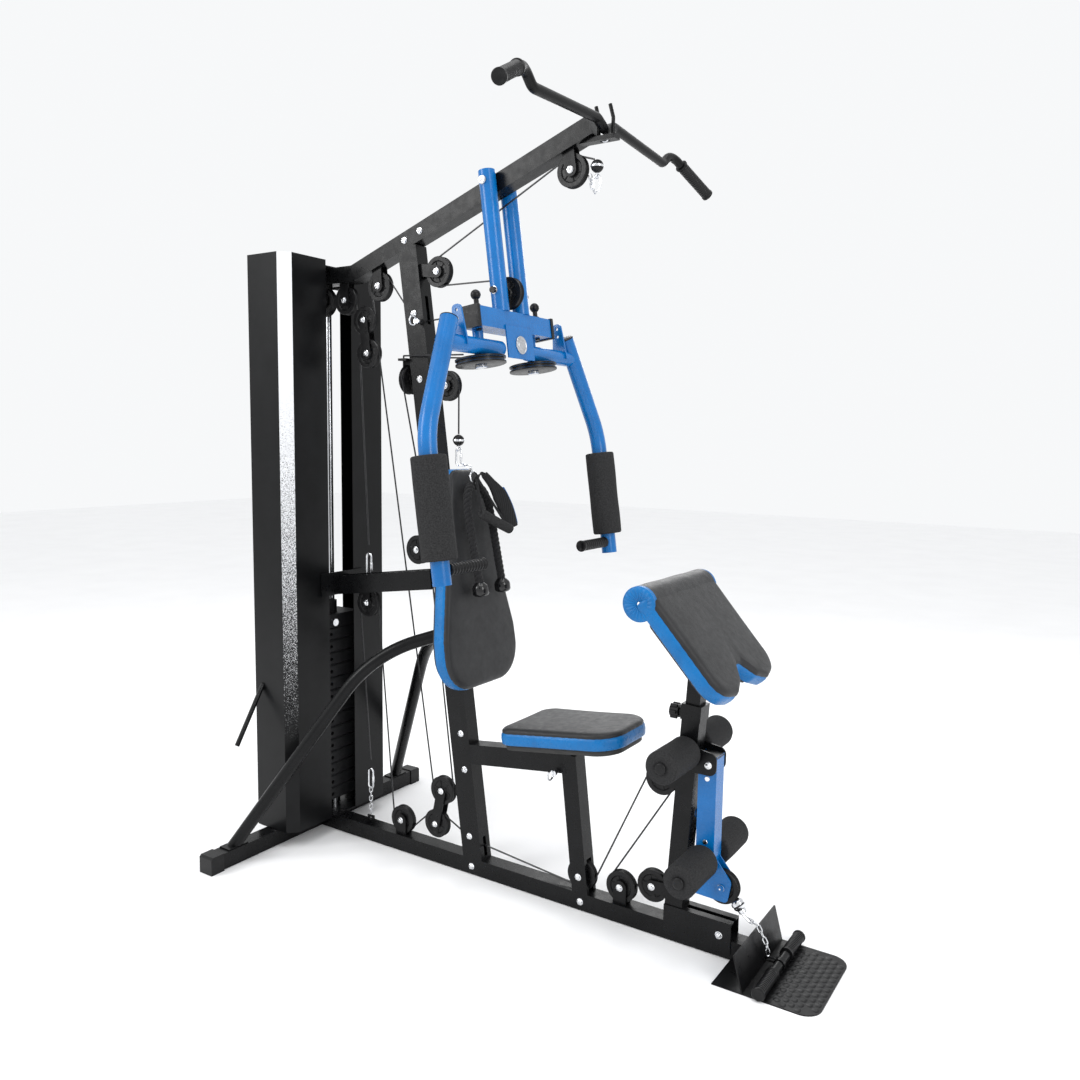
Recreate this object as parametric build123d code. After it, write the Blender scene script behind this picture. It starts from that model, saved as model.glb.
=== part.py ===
from build123d import *
import math
import os

# A free-standing home gym with a weight tower at the back, a leaning main
# upright, a rising top boom, a press frame with two swinging arms, a seat,
# an arm-curl pad, a leg lever and a foot plate. Millimetres, +Z up, +X towards
# the foot plate, +Y to the sitter's left.
# Every part is laid out from a datum 410 mm behind the middle of the footprint
# and is moved onto the origin as it is written.

# Driving dimensions
MIDDLE = 410.0        # datum to the middle of the footprint
TUBE = 50.0           # square frame tube
WALL = 2.5
RAIL_Z = 3.0          # underside of the base rail
RAIL_TOP = RAIL_Z + TUBE
BASE_HALF = 482.0     # half width over the stabiliser caps
BASE_X = -443.0       # stabiliser centre line
PLATE_FRONT = 1323.0  # front edge of the foot plate
LEAN = 8.0            # degrees that the upright leans back
UPRIGHT_DEEP = 70.0
FOOT_X = 228.0        # upright centre line where it meets the rail
BOOM_RISE = 20.0      # degrees
BOOM_BEND = (-257.0, 1841.0)
BOOM_TIP_X = 590.0
PRESS_X, PRESS_Z = 286.0, 2041.0     # press frame pivot
LEVER_X, LEVER_Z = 987.0, 510.0      # leg lever pivot
LEVER_MID = 982.0     # leg lever centre line
POST_LEAN = 3.6       # degrees that the front post leans forward
POST_X, POST_Z = 917.0, 403.0        # a point on the front post's centre line
STACK_X = -440.0
ROD_Y = 52.0
PLATES = 14
PLATE_PITCH = 43.0
STACK_Z = 88.0        # underside of the lowest weight plate
GUARD_HALF = 227.0
GUARD_TOP = 1886.0
GUARD_FOOT = 57.0
WHEEL_R = 45.0        # pulley rim radius
LINE_R = 40.0         # radius at which the cable's centre runs round a pulley
SMALL_R = 28.0
SMALL_LINE = 23.0
BOLT_R = 5.0
PIVOT_R = 5.95        # pivot bolts of the press frame and the leg lever
BORE_R = 5.05
CABLE_R = 2.5
AXIS = (Align.CENTER, Align.CENTER, Align.MIN)

# Pulley centres (x, z) in the middle plane
TOWER_REAR = (-400.0, 1764.0)
TOWER_FRONT = (-302.0, 1764.0)
BOOM_MID = (-159.0, 1797.0)
SLOT_UPPER = (-3.0, 1703.0)
UPRIGHT_FRONT = (75.0, 1822.0)
PRESS_WHEEL = (328.0, 1742.0)
BOOM_TIP_WHEEL = (532.0, 2048.0)
CHEST = (109.0, 1488.0)
CHEST_GUIDE = (20.0, 1508.0)
HANG_UPPER = (-222.0, 1697.0)
HANG_LOWER = (-208.0, 1594.0)
SINGLE = (-216.0, 797.0)
BACK_GUIDE = (-4.0, 987.0)
CROWN = (-38.0, 1509.0)
FLOAT_UPPER = (96.0, 234.0)
FLOAT_LOWER = (72.0, 121.0)
RAIL_REAR = (-70.0, 99.0)
FOOT_WHEEL = (217.0, 122.0)
SEAT_WHEEL = (604.0, 99.0)
RAIL_FRONT = (731.0, 99.0)
POST_REAR = (828.0, 130.0)
POST_UPPER = (845.0, 436.0)
LEVER_WHEEL = (1026.0, 183.0)
KNEE_Z, ANKLE_Z = 534.0, 255.0       # roller axles
CURL_X, CURL_Z = 888.0, 964.0        # upper edge of the curl pad's top surface
CURL_SLOPE = 48.5     # degrees
ROLL_R = 45.0         # rolled edge of the curl pad


def block(x0, x1, y0, y1, z0, z1):
    """Solid box between two corners."""
    middle = Pos((x0 + x1) / 2, (y0 + y1) / 2, (z0 + z1) / 2)
    return middle * Box(x1 - x0, y1 - y0, z1 - z0)


def rod(start, end, radius):
    """Round bar from one point to another."""
    run = Vector(*end) - Vector(*start)
    return Plane(origin=start, z_dir=run).location * Cylinder(radius, run.length, align=AXIS)


def cross_rod(x, z, half, radius, y=0.0):
    """Round bar along Y, centred on y."""
    return rod((x, y - half, z), (x, y + half, z), radius)


def along(start, end):
    """Frame at start whose x axis runs to end, both (x, z) in the middle plane."""
    run = (end[0] - start[0], 0, end[1] - start[1])
    return Plane(origin=(start[0], 0, start[1]), x_dir=run, z_dir=(0, 1, 0)).location


def bar(start, end, wide, deep):
    """Solid bar of oblong section in the middle plane."""
    length = math.dist(start, end)
    return along(start, end) * Box(length, deep, wide, align=(Align.MIN, Align.CENTER, Align.CENTER))


def tube(start, end, wide=TUBE, deep=TUBE, wall=WALL):
    """Box tube in the middle plane, open at both ends."""
    return bar(start, end, wide, deep) - bar(start, end, wide - 2 * wall, deep - 2 * wall)


def leaning(x, z, degrees):
    """Frame at (x, z) turned so that its z axis leans towards -X."""
    a = math.radians(degrees)
    return Plane(origin=(x, 0, z), x_dir=(math.cos(a), 0, math.sin(a)),
                 z_dir=(-math.sin(a), 0, math.cos(a))).location


def bend_path(points, radii):
    """Straight runs joined by tangent arcs."""
    return Wire(FilletPolyline(*points, radius=radii).edges())


def round_along(path, radius):
    """Round bar along a path."""
    return sweep(Plane(origin=path @ 0, z_dir=path % 0) * Circle(radius), path=path)


def outline(points, radii):
    """Closed outline whose corners are rounded one by one."""
    face = make_face(Polyline(*points, close=True))
    for point, radius in zip(points, radii):
        if radius:
            corner = face.vertices().sort_by_distance(Vector(*point))[0]
            face = fillet(corner, radius)
    return face


def joined(shapes):
    """One solid from shapes that touch or overlap, such as the links of a chain."""
    body = shapes[0]
    for shape in shapes[1:]:
        body = body + shape
    return body


def both_sides(shape):
    """The shape and its mirror image across the middle plane."""
    return [shape, mirror(shape, Plane.XZ)]


def group(shapes):
    """Separate solids kept together as one sub-part."""
    solids = []
    for shape in shapes:
        solids += shape.solids()
    return Compound(children=solids)


UPRIGHT = leaning(FOOT_X, RAIL_TOP, LEAN)
PRESS = leaning(PRESS_X, PRESS_Z, LEAN)
FRONT_POST = leaning(POST_X, POST_Z, -POST_LEAN)


def upright_x(z):
    """X of the upright's centre line at height z."""
    return FOOT_X - (z - RAIL_TOP) * math.tan(math.radians(LEAN))


def post_x(z):
    """X of the front post's centre line at height z."""
    return POST_X + (z - POST_Z) * math.tan(math.radians(POST_LEAN))


def boom_z(x):
    """Z of the rising boom's centre line at x."""
    return BOOM_BEND[1] + (x - BOOM_BEND[0]) * math.tan(math.radians(BOOM_RISE))


# Pulleys and the cables that run over them

def wheel(centre, rim=WHEEL_R, groove=37.0, half=10.0, y=0.0):
    """Grooved pulley with a raised hub, turning about Y."""
    web = min(14.0, groove - 4)
    profile = [(BORE_R, -half - 1), (12, -half - 1), (web, -half + 3), (groove - 7, -half + 3),
               (groove - 4, -half), (rim, -half), (rim, -half + 2.5), (groove, -2.6), (groove, 2.6),
               (rim, half - 2.5), (rim, half), (groove - 4, half), (groove - 7, half - 3),
               (web, half - 3), (12, half + 1), (BORE_R, half + 1)]
    face = make_face(Polyline(*[(r, 0, t) for r, t in profile], close=True))
    body = revolve(face, Axis.Z)
    return Pos(centre[0], y, centre[1]) * Rot(90, 0, 0) * body


def guide_pulleys():
    """The smaller and slower pulleys that stay with the frame or the hanging blocks."""
    centres = (TOWER_REAR, TOWER_FRONT, BACK_GUIDE, HANG_UPPER, HANG_LOWER, SINGLE, FLOAT_UPPER, FLOAT_LOWER,
               POST_REAR)
    wheels = [wheel(centre) for centre in centres]
    wheels += [wheel(centre, SMALL_R, 20.0, 6.0) for centre in (SLOT_UPPER, FOOT_WHEEL, CHEST_GUIDE)]
    x, z = CROWN
    wheels.append(Pos(x, 0, z) * Rot(0, 0, 90) * wheel((0, 0)))
    return group(wheels)


def belt(stops, y=0.0):
    """Cable path in the plane y: free ends are (x, z), pulleys are (x, z, radius, side).

    Side is +1 where the pulley's centre lies to the right of the cable's travel.
    """
    full = [s if len(s) == 4 else (s[0], s[1], 0.0, 1) for s in stops]
    edges = []
    entry = None
    for a, b in zip(full, full[1:]):
        dx, dz = b[0] - a[0], b[1] - a[1]
        shift = b[3] * b[2] - a[3] * a[2]
        heading = math.atan2(dz, dx) + math.asin(shift / math.hypot(dx, dz))
        side_x, side_z = -math.sin(heading), math.cos(heading)
        leave = (a[0] + a[3] * a[2] * side_x, a[1] + a[3] * a[2] * side_z)
        touch = (b[0] + b[3] * b[2] * side_x, b[1] + b[3] * b[2] * side_z)
        if entry:
            edges.append(wrap(a, entry, leave, y))
        edges.append(Line((leave[0], y, leave[1]), (touch[0], y, touch[1])))
        entry = touch
    return Wire(edges)


def wrap(pulley, touch, leave, y):
    """Arc round a pulley from the point where the cable touches to where it leaves."""
    x, z, radius, side = pulley
    first = math.atan2(touch[1] - z, touch[0] - x)
    last = math.atan2(leave[1] - z, leave[0] - x)
    turn = (first - last) % (2 * math.pi) if side > 0 else -((last - first) % (2 * math.pi))
    half = first - turn / 2
    middle = (x + radius * math.cos(half), y, z + radius * math.sin(half))
    return ThreePointArc((touch[0], y, touch[1]), middle, (leave[0], y, leave[1]))


def over(centre, side, radius=LINE_R):
    """A pulley as a stop on a cable's path."""
    return (centre[0], centre[1], radius, side)


# Frame

def rear_stabiliser():
    outer = block(BASE_X - 25, BASE_X + 25, 4 - BASE_HALF, BASE_HALF - 4, RAIL_Z, RAIL_TOP)
    inner = block(BASE_X - 22.5, BASE_X + 22.5, 4 - BASE_HALF, BASE_HALF - 4,
                  RAIL_Z + WALL, RAIL_TOP - WALL)
    return outer - inner


def frame_end_caps():
    """Plastic caps: two feet on the stabiliser, one in the boom's tip, one in the rail's end."""
    cap = block(BASE_X - 28, BASE_X + 28, -BASE_HALF, 47 - BASE_HALF, 0, RAIL_TOP + 3)
    cap -= block(BASE_X - 25, BASE_X + 25, 3.5 - BASE_HALF, 48 - BASE_HALF, RAIL_Z, RAIL_TOP)
    cap = chamfer(cap.edges().filter_by(Axis.X).group_by(Axis.Y)[0].group_by(Axis.Z)[-1], 6)
    tip = along((BOOM_TIP_X, boom_z(BOOM_TIP_X)), (BOOM_TIP_X + 10, boom_z(BOOM_TIP_X + 10)))
    plug = tip * Pos(2, 0, 0) * Box(4, TUBE, TUBE)
    rail_plug = block(1110, 1113, -25, 25, RAIL_Z, RAIL_TOP)
    return group(both_sides(cap) + [plug, rail_plug])


def base_rail():
    return tube((BASE_X + 25.1, RAIL_Z + TUBE / 2), (1110, RAIL_Z + TUBE / 2))


def foot_plate():
    """Tread plate with rounded front corners and a leaning back flange."""
    points = [(1062, -150), (PLATE_FRONT, -150), (PLATE_FRONT, 150), (1062, 150)]
    floor = extrude(outline(points, [0, 45, 45, 0]), 3)
    side = make_face(Polyline((1138, 0, 3), (1142, 0, 3), (1118.5, 0, 92), (1114.5, 0, 92), close=True))
    flange = Pos(0, 150, 0) * extrude(side, 300, dir=(0, -1, 0))
    return floor + flange


def main_upright():
    length = 1950
    outer = UPRIGHT * Pos(0, 0, -30) * Box(UPRIGHT_DEEP, TUBE, length, align=AXIS)
    inner = UPRIGHT * Pos(0, 0, -30) * Box(UPRIGHT_DEEP - 5, TUBE - 5, length, align=AXIS)
    post = outer - inner
    post -= block(-200, 600, -60, 60, -200, RAIL_TOP)
    post -= boom_solid()
    post -= block(-400, 400, -60, 60, 1905, 2200)
    slots = [(1672, 1756, 1), (1636, 1722, -1), (1515, 1542, 1), (84, 168, -1), (62, 122, 1)]
    for low, high, front in slots:
        x = upright_x((low + high) / 2) + front * UPRIGHT_DEEP / 2
        post -= block(x - 16, x + 16, -7, 7, low, high)
    for centre in (SLOT_UPPER, FOOT_WHEEL, CHEST_GUIDE):
        post -= cross_rod(*centre, 60, BOLT_R)
    return post


def boom_solid():
    tip = (BOOM_TIP_X, boom_z(BOOM_TIP_X))
    return bar((-492, BOOM_BEND[1]), (BOOM_BEND[0] + 4.4, BOOM_BEND[1]), TUBE, TUBE) + bar(
        BOOM_BEND, tip, TUBE, TUBE)


def top_boom():
    """Boom with a level tail in the tower and two pegs that hold the pulldown bar."""
    tip = (BOOM_TIP_X, boom_z(BOOM_TIP_X))
    inner = bar((-492, BOOM_BEND[1]), BOOM_BEND, TUBE - 5, TUBE - 5) + bar(BOOM_BEND, tip, TUBE - 5, TUBE - 5)
    boom = boom_solid() - inner - cross_rod(PRESS_X, PRESS_Z, 60, PIVOT_R)
    shelf = block(540, 664, -14, 14, 2122 - 12, 2122)
    shelf -= bar(BOOM_BEND, (BOOM_TIP_X + 12, boom_z(BOOM_TIP_X + 12)), TUBE, TUBE + 0.2)
    shelf -= block(614, 642, -5, 5, 2100, 2130)
    for x in (609, 651):
        shelf += rod((x, 0, 2116), (x, 0, 2166), 5)
        shelf += rod((x, 0, 2166), (x - 10, 0, 2200), 5) + Pos(x, 0, 2166) * Sphere(5)
    return group([boom, shelf])


def guard(side):
    """Folded sheet guard: back, side, 45 degree corner and front flange."""
    front, back, inner, bevel, sheet = -340.0, -503.0, 56.0, 31.0, 2.0
    half = GUARD_HALF
    line = Polyline((back, -half + 60), (back, -half), (front - bevel, -half),
                    (front, -half + bevel), (front, -inner))
    body = extrude(folded(line, sheet), GUARD_TOP - GUARD_FOOT)
    body = Pos(0, 0, GUARD_FOOT) * body
    if side < 0:
        return body + rod((-470, -half + 1, 534), (-470, -334, 357), 7.5)
    return mirror(body, Plane.XZ)


def tower_plates():
    """Foot plate, top channel and tie plate that join the two guards."""
    corners = [(-498, -222), (-374, -222), (-346, -194), (-346, 194), (-374, 222), (-498, 222)]
    sheet = make_face(Polyline(*corners, close=True))
    foot = Pos(0, 0, RAIL_TOP) * extrude(sheet, 3.5)
    top = Pos(0, 0, 1866.5) * extrude(sheet, 4)
    top_rear = block(-498, -494, -222, 222, 1830, 1866.5) - block(-500, -490, -26, 26, 1800, 1867)
    tie = block(-337, -333, -96, 96, 815, 890)
    return group([foot, top + top_rear, tie])


def guide_rods():
    bars = [rod((STACK_X, y, GUARD_FOOT), (STACK_X, y, 1866), 9.5) for y in (-ROD_Y, ROD_Y)]
    collars = [Pos(STACK_X, y, GUARD_FOOT) * (Cylinder(22, 28, align=AXIS) - Cylinder(9.6, 28, align=AXIS))
               for y in (-ROD_Y, ROD_Y)]
    return group(bars + collars)


def weight_plate(low):
    """One bevelled plate with holes for the rods, the selector stem and the pin."""
    high = low + PLATE_PITCH - 0.6
    body = block(STACK_X - 50, STACK_X + 50, -130, 130, low, high)
    body = chamfer(body.edges().group_by(Axis.Z)[0] + body.edges().group_by(Axis.Z)[-1], 5)
    for y in (-ROD_Y, ROD_Y):
        body -= rod((STACK_X, y, low - 1), (STACK_X, y, high + 1), 11)
    body -= rod((STACK_X, 0, low - 1), (STACK_X, 0, high + 1), 14)
    body -= rod((STACK_X, 0, (low + high) / 2), (STACK_X + 60, 0, (low + high) / 2), 6.5)
    return body


def weight_plates():
    return group([weight_plate(STACK_Z + i * PLATE_PITCH) for i in range(PLATES)])


def side_brace():
    """Bent brace from the upright's side down to the stabiliser's near end."""
    top = Vector(96, -10, 734)
    foot = Vector(BASE_X, -375, RAIL_TOP)
    level = Vector(foot.X - top.X, foot.Y - top.Y, 0)
    unit = level.normalized()
    corner = Vector(top.X, top.Y, 668) + unit * 215
    path = bend_path([tuple(top), tuple(corner), tuple(foot - (corner - foot).normalized() * 30)], [430])
    brace = round_along(path, 20)
    inner = round_along(path, 17.5)
    foot_pad = block(BASE_X - 22, BASE_X + 22, -412, -338, RAIL_TOP, RAIL_TOP + 4)
    head_pad = UPRIGHT * Pos(0, -27.5, 690) * Box(64, 5, 90)
    return trim_brace(brace) - inner + foot_pad + head_pad


def trim_brace(brace):
    brace -= block(-600, 300, -500, 0, -100, RAIL_TOP)
    brace -= block(-100, 300, -25, 50, 500, 900)
    return brace


def side_braces():
    return group(both_sides(side_brace()))


def rear_strut():
    """Two flat bars from the sides of the upright to the tower's tie plate."""
    start, end = (66, 902), (-333, 846)
    plate = along(start, end) * Pos(0, 0, 27.8) * Box(404, 60, 5, align=(Align.MIN, Align.CENTER, Align.CENTER))
    plate -= block(-400, -333, -100, 100, 700, 1000)
    return group(both_sides(plate))


def seat_frame():
    """Seat beam, seat post and two seat bearers."""
    post = tube((612, 30), (562.5, 446), TUBE, TUBE)
    post -= block(400, 800, -60, 60, -50, RAIL_TOP)
    post -= block(550, 660, -13, 13, RAIL_TOP - 5, 150)
    post -= cross_rod(*SEAT_WHEEL, 60, BOLT_R)
    beam = tube((150, 372), (575, 425), TUBE, 60)
    beam -= UPRIGHT * Box(UPRIGHT_DEEP + 0.2, 90, 2000)
    beam -= bar((614, 13.5), (562.5, 446), 80, TUBE)
    beam = beam.solids().sort_by(SortBy.VOLUME)[-1]
    bearers = [seat_plane() * Pos(x, 0, -68) * Box(30, 150, 10) for x in (120, 250)]
    return group([post + beam] + bearers)


def seat_plane():
    """Frame on the seat's top surface at its back edge, x forward."""
    return Plane(origin=(386, 0, 520), x_dir=(math.cos(math.radians(7)), 0, math.sin(math.radians(7))),
                 z_dir=(-math.sin(math.radians(7)), 0, math.cos(math.radians(7)))).location


def seat_pad():
    """Seat cushion on a board."""
    points = [(0, -136), (372, -120), (372, 120), (0, 136)]
    pad = extrude(outline(points, [40, 75, 75, 40]), 46)
    pad = fillet(pad.edges().group_by(Axis.Z)[-1], 12)
    inner = [(12, -124), (360, -108), (360, 108), (12, 124)]
    board = extrude(outline(inner, [30, 65, 65, 30]), 16)
    return group([seat_plane() * Pos(0, 0, -46) * pad, seat_plane() * Pos(0, 0, -62.3) * board])


def backrest_pad():
    """Back cushion, narrow at the top, on a board."""
    points = [(-176, 536), (176, 536), (172, 690), (66, 1188), (-66, 1188), (-172, 690)]
    pad = extrude(outline(points, [100, 100, 60, 38, 38, 60]), 50)
    pad = fillet(pad.edges().group_by(Axis.Z)[-1], 12)
    inner = [(-164, 550), (164, 550), (160, 690), (56, 1176), (-56, 1176), (-160, 690)]
    board = extrude(outline(inner, [90, 90, 50, 30, 30, 50]), 12)
    upright_face = Plane(origin=(0, 0, 0), x_dir=(0, 1, 0), z_dir=(1, 0, 0)).location
    placed = [UPRIGHT * Pos(63, 0, 0) * upright_face * pad, UPRIGHT * Pos(50.7, 0, 0) * upright_face * board]
    return group(placed)


def front_post():
    """Front post with its saddle on the rail, the lever's ears and the curl post's sleeve."""
    low, high = (54 - POST_Z) / math.cos(math.radians(POST_LEAN)), 212.0
    post = FRONT_POST * Pos(0, 0, low) * (Box(TUBE, TUBE, high - low, align=AXIS)
                                          - Box(45, 45, high - low, align=AXIS))
    post -= block(800, 1000, -60, 60, -50, RAIL_TOP)
    post -= block(850, 950, -7, 7, 138, 190)
    saddle = block(872, 1062, -28.5, 28.5, 18, 100) - block(800, 1100, -25.2, 25.2, -10, 96)
    saddle -= block(post_x(90) - 24, post_x(90) + 24, -22, 22, 90, 110)
    saddle -= block(930, 1070, -8, 8, 95, 101)
    sleeve = FRONT_POST * Pos(0, 0, high) * (Box(56, 56, 42, align=AXIS) - Box(40.6, 40.6, 42, align=AXIS))
    nut = rod((post_x(628) - 40, 0, 628), (post_x(628) - 27, 0, 628), 11)
    nut -= rod((post_x(628) - 60, 0, 628), (post_x(628), 0, 628), 6.2)
    sleeve -= rod((post_x(628) - 60, 0, 628), (post_x(628) - 10, 0, 628), 6.2)
    ear_face = outline([(post_x(520) - 20, 482), (LEVER_X + 22, 482), (LEVER_X + 22, 540),
                        (post_x(520) - 20, 556)], [0, 20, 20, 0])
    ears = []
    for y in (-29.5, 33.5):
        plate = Pos(0, y, 0) * Rot(90, 0, 0) * extrude(ear_face, 4)
        ears.append(plate - cross_rod(LEVER_X, LEVER_Z, 60, BOLT_R + 1))
    cheeks = [block(post_x(520) - 20, post_x(520) + 20, y0, y1, 490, 548)
              for y0, y1 in ((-29.5, -25), (25, 29.5))]
    post -= cross_rod(post_x(KNEE_Z), KNEE_Z, 60, 9)
    body = post + saddle + sleeve + nut
    for plate in ears + cheeks:
        body += plate - cross_rod(post_x(KNEE_Z), KNEE_Z, 60, 9)
    return body


def hanger(centre, top_x, top_z, half=18.0, inner=12.2, sheet=3.0):
    """Two straps that carry a pulley's bolt, from the bolt up to a tube."""
    plates = []
    run = (top_x - centre[0], top_z - centre[1])
    length = math.hypot(*run)
    frame = along(centre, (top_x, top_z))
    for y in (-inner - sheet / 2, inner + sheet / 2):
        strap = frame * Pos(0, 0, y) * Box(length, 2 * half, sheet, align=(Align.MIN, Align.CENTER, Align.CENTER))
        strap += frame * Pos(0, 0, y) * Cylinder(half, sheet)
        plates.append(strap - cross_rod(centre[0], centre[1], 60, BOLT_R))
    return plates


def frame_brackets():
    """Pulley straps on the boom, upright, rail and post, and the three hanging blocks."""
    boom = boom_solid()
    upright = UPRIGHT * Pos(0, 0, -40) * Box(UPRIGHT_DEEP, TUBE, 1990, align=AXIS)
    plates = []
    for centre, top in ((TOWER_REAR, (-400, 1830)), (TOWER_FRONT, (-302, 1830)),
                        (BOOM_MID, (-166, 1880)), (BOOM_TIP_WHEEL, (521, 2110))):
        plates += [p - boom for p in hanger(centre, *top)]
    for centre, end in ((UPRIGHT_FRONT, (0, 1832)), (CHEST, (45, 1500)), (BACK_GUIDE, (80, 999))):
        plates += [p - upright for p in hanger(centre, *end)]
    for centre, end in ((RAIL_REAR, (-70, 40)), (RAIL_FRONT, (731, 40))):
        plates += [p - block(-200, 900, -40, 40, 0, RAIL_TOP) for p in hanger(centre, *end, half=20)]
    rear_face = FRONT_POST * Pos(0, 0, -420) * Box(TUBE, TUBE, 700, align=AXIS)
    for centre, end in ((POST_REAR, (890, 134)), (POST_UPPER, (915, 440))):
        plates += [p - rear_face for p in hanger(centre, *end)]
    plates += hanger(HANG_LOWER, *HANG_UPPER, half=17, inner=11.6)
    plates += hanger(FLOAT_LOWER, *FLOAT_UPPER, half=17, inner=11.6)
    plates = [p - cross_rod(*HANG_UPPER, 60, BOLT_R) - cross_rod(*FLOAT_UPPER, 60, BOLT_R) for p in plates]
    plates += single_block()
    return group(plates + crown_bracket() + backrest_straps() + rail_eye())


def single_block():
    """Block of the single hanging pulley: two straps and a bridge with a hole for the clip."""
    straps = hanger(SINGLE, SINGLE[0], SINGLE[1] + 66, half=15, inner=11.6)
    bridge = block(SINGLE[0] - 15, SINGLE[0] + 15, -11.6, 11.6, SINGLE[1] + 55, SINGLE[1] + 66)
    bridge -= rod((SINGLE[0] - 30, 0, SINGLE[1] + 60), (SINGLE[0] + 30, 0, SINGLE[1] + 60), 3.5)
    return [straps[0] + bridge + straps[1]]


def crown_bracket():
    """Yoke of the sideways pulley behind the upright, with an ear for the arm cable each side."""
    x, z = CROWN
    yoke = block(x - 16, x - 13, -18, 18, z - 16, z + 62) + block(x + 13, x + 16, -18, 18, z - 16, z + 62)
    yoke += block(x - 16, x + 16, -40, 40, z + 55, z + 62)
    yoke -= rod((x - 40, 0, z), (x + 60, 0, z), BOLT_R)
    for y in (-32, 32):
        yoke -= rod((x, y, z + 50), (x, y, z + 70), 3)
    back = upright_x(1405) - 37
    anchor = block(back - 24, back, 34, 46, 1398, 1412) + block(back - 6, back, 10, 46, 1398, 1412)
    return [yoke, anchor]


def backrest_straps():
    """Two angle plates that hold the back board to the upright."""
    return [UPRIGHT * Pos(42.8, 0, z) * Box(15, 60, 34) for z in (640, 1060)]


def rail_eye():
    """Eye plate on the rail for the lower chain."""
    plate = block(-228, -200, -3, 3, RAIL_TOP, RAIL_TOP + 24)
    return [plate - rod((-214, -10, RAIL_TOP + 14), (-214, 10, RAIL_TOP + 14), 5)]


def frame_bolts():
    """Pulley bolts with heads and nuts, and the frame's bolt heads."""
    bolts = []
    for centre in (TOWER_REAR, TOWER_FRONT, BOOM_MID, BOOM_TIP_WHEEL, UPRIGHT_FRONT, CHEST, BACK_GUIDE,
                   RAIL_REAR, RAIL_FRONT, POST_REAR, POST_UPPER, HANG_UPPER, HANG_LOWER, SINGLE,
                   FLOAT_UPPER, FLOAT_LOWER):
        inner = 14.7 if centre in (HANG_UPPER, HANG_LOWER, SINGLE, FLOAT_UPPER, FLOAT_LOWER) else 15.3
        bolts.append(bolt_across(*centre, inner))
    for centre in (SLOT_UPPER, FOOT_WHEEL, SEAT_WHEEL, CHEST_GUIDE):
        bolts.append(bolt_across(*centre, 25.0))
    x, z = CROWN
    bolts.append(rod((x - 22, 0, z), (x + 22, 0, z), BOLT_R) + rod((x - 22, 0, z), (x - 16.1, 0, z), 9))
    for z, half in ((329, 25), (439, 25), (783, 30.4), (903, 30.4)):
        bolts += dome_pair(upright_x(z) + 8, z, half)
    bolts += dome_pair(226, 28, 25) + dome_pair(612, 28, 25) + dome_pair(1030, 62, 28.5)
    bolts += dome_pair(-40, boom_z(-40), 25) + dome_pair(20, boom_z(20), 25)
    return group(bolts + [press_pivot(), lever_pivot()])


def bolt_across(x, z, half):
    """Bolt along Y: a shank between the cheeks at +-half, a domed head and a nut."""
    shank = cross_rod(x, z, half + 8, BOLT_R)
    head = rod((x, -half - 7, z), (x, -half - 0.1, z), 9)
    nut = rod((x, half + 0.1, z), (x, half + 8, z), 9)
    return shank + head + nut


def dome_pair(x, z, half):
    """Bolt head and nut on the two sides of a tube."""
    return [rod((x, -half - 7, z), (x, -half - 0.05, z), 9), rod((x, half + 0.05, z), (x, half + 7, z), 9)]


# Cables

LAT_SPLIT_X = 292.0


def lat_cable():
    """Pulldown cable: boom tip to the press pulley, and from there to the tower's top."""
    front = belt([(597, 2069), over(BOOM_TIP_WHEEL, -1), over(UPRIGHT_FRONT, -1), (LAT_SPLIT_X, 1781.7)])
    rear = belt([(LAT_SPLIT_X, 1700), over(SLOT_UPPER, 1, SMALL_LINE), over(BOOM_MID, -1),
                 over(HANG_UPPER, 1), over(TOWER_FRONT, -1), over(TOWER_REAR, -1), (STACK_X, 1760)])
    return group([round_along(front, CABLE_R), round_along(rear, CABLE_R)])


def lift_cable():
    """The straight stretch from the tower's top down to the weight carriage."""
    return rod((STACK_X, 0, 839), (STACK_X, 0, 1759.8), CABLE_R)


def press_cable_loop():
    """The part of the pulldown cable that lies round the press frame's pulley."""
    loop = belt([(LAT_SPLIT_X + 0.4, 1781.7), over(PRESS_WHEEL, 1), (LAT_SPLIT_X + 0.4, 1700)])
    return round_along(loop, CABLE_R)


def main_cable():
    """Cable from the single block over the hanging block, round the floating block, up to the crown pulley."""
    low = belt([(SINGLE[0], 985), over(HANG_LOWER, 1), over(FLOAT_UPPER, -1), over(BACK_GUIDE, -1, 40.0),
                (16.0, 1130.0)])
    lower = round_along(low, CABLE_R)
    x, z = CROWN
    climb = rod((15.8, -0.15, 1131.5), (x, -LINE_R, z), CABLE_R)
    arc = Wire([ThreePointArc((x, -LINE_R, z), (x, 0, z + LINE_R), (x, LINE_R, z))])
    crown = round_along(arc, CABLE_R)
    tail = rod((x, LINE_R, z), (x, LINE_R, 1412.2), CABLE_R)
    return group([lower, climb, crown, tail])


def arm_cable():
    """Cable from one arm's cam, past the upright, to the crown pulley's yoke and on to the other cam."""
    x, z = CROWN
    pieces = []
    for y in (-1, 1):
        near = (x, y * 32, z + 62.2)
        side = (x, y * 32, z + 70)
        rim = (214.0, y * 64.0, 1571.0)
        pieces.append(rod(near, side, CABLE_R) + Pos(*side) * Sphere(CABLE_R) + rod(side, rim, CABLE_R))
    return group(pieces)


def chest_cable():
    """Cable from the chest-height stopper over its pulley and down inside the upright."""
    path = belt([(CHEST[0] + LINE_R, 1345), over(CHEST, -1), over(CHEST_GUIDE, -1, SMALL_LINE), (190, 230)])
    return round_along(path, CABLE_R)


def upper_cables():
    return group(lat_cable().solids() + arm_cable().solids() + chest_cable().solids())


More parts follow.
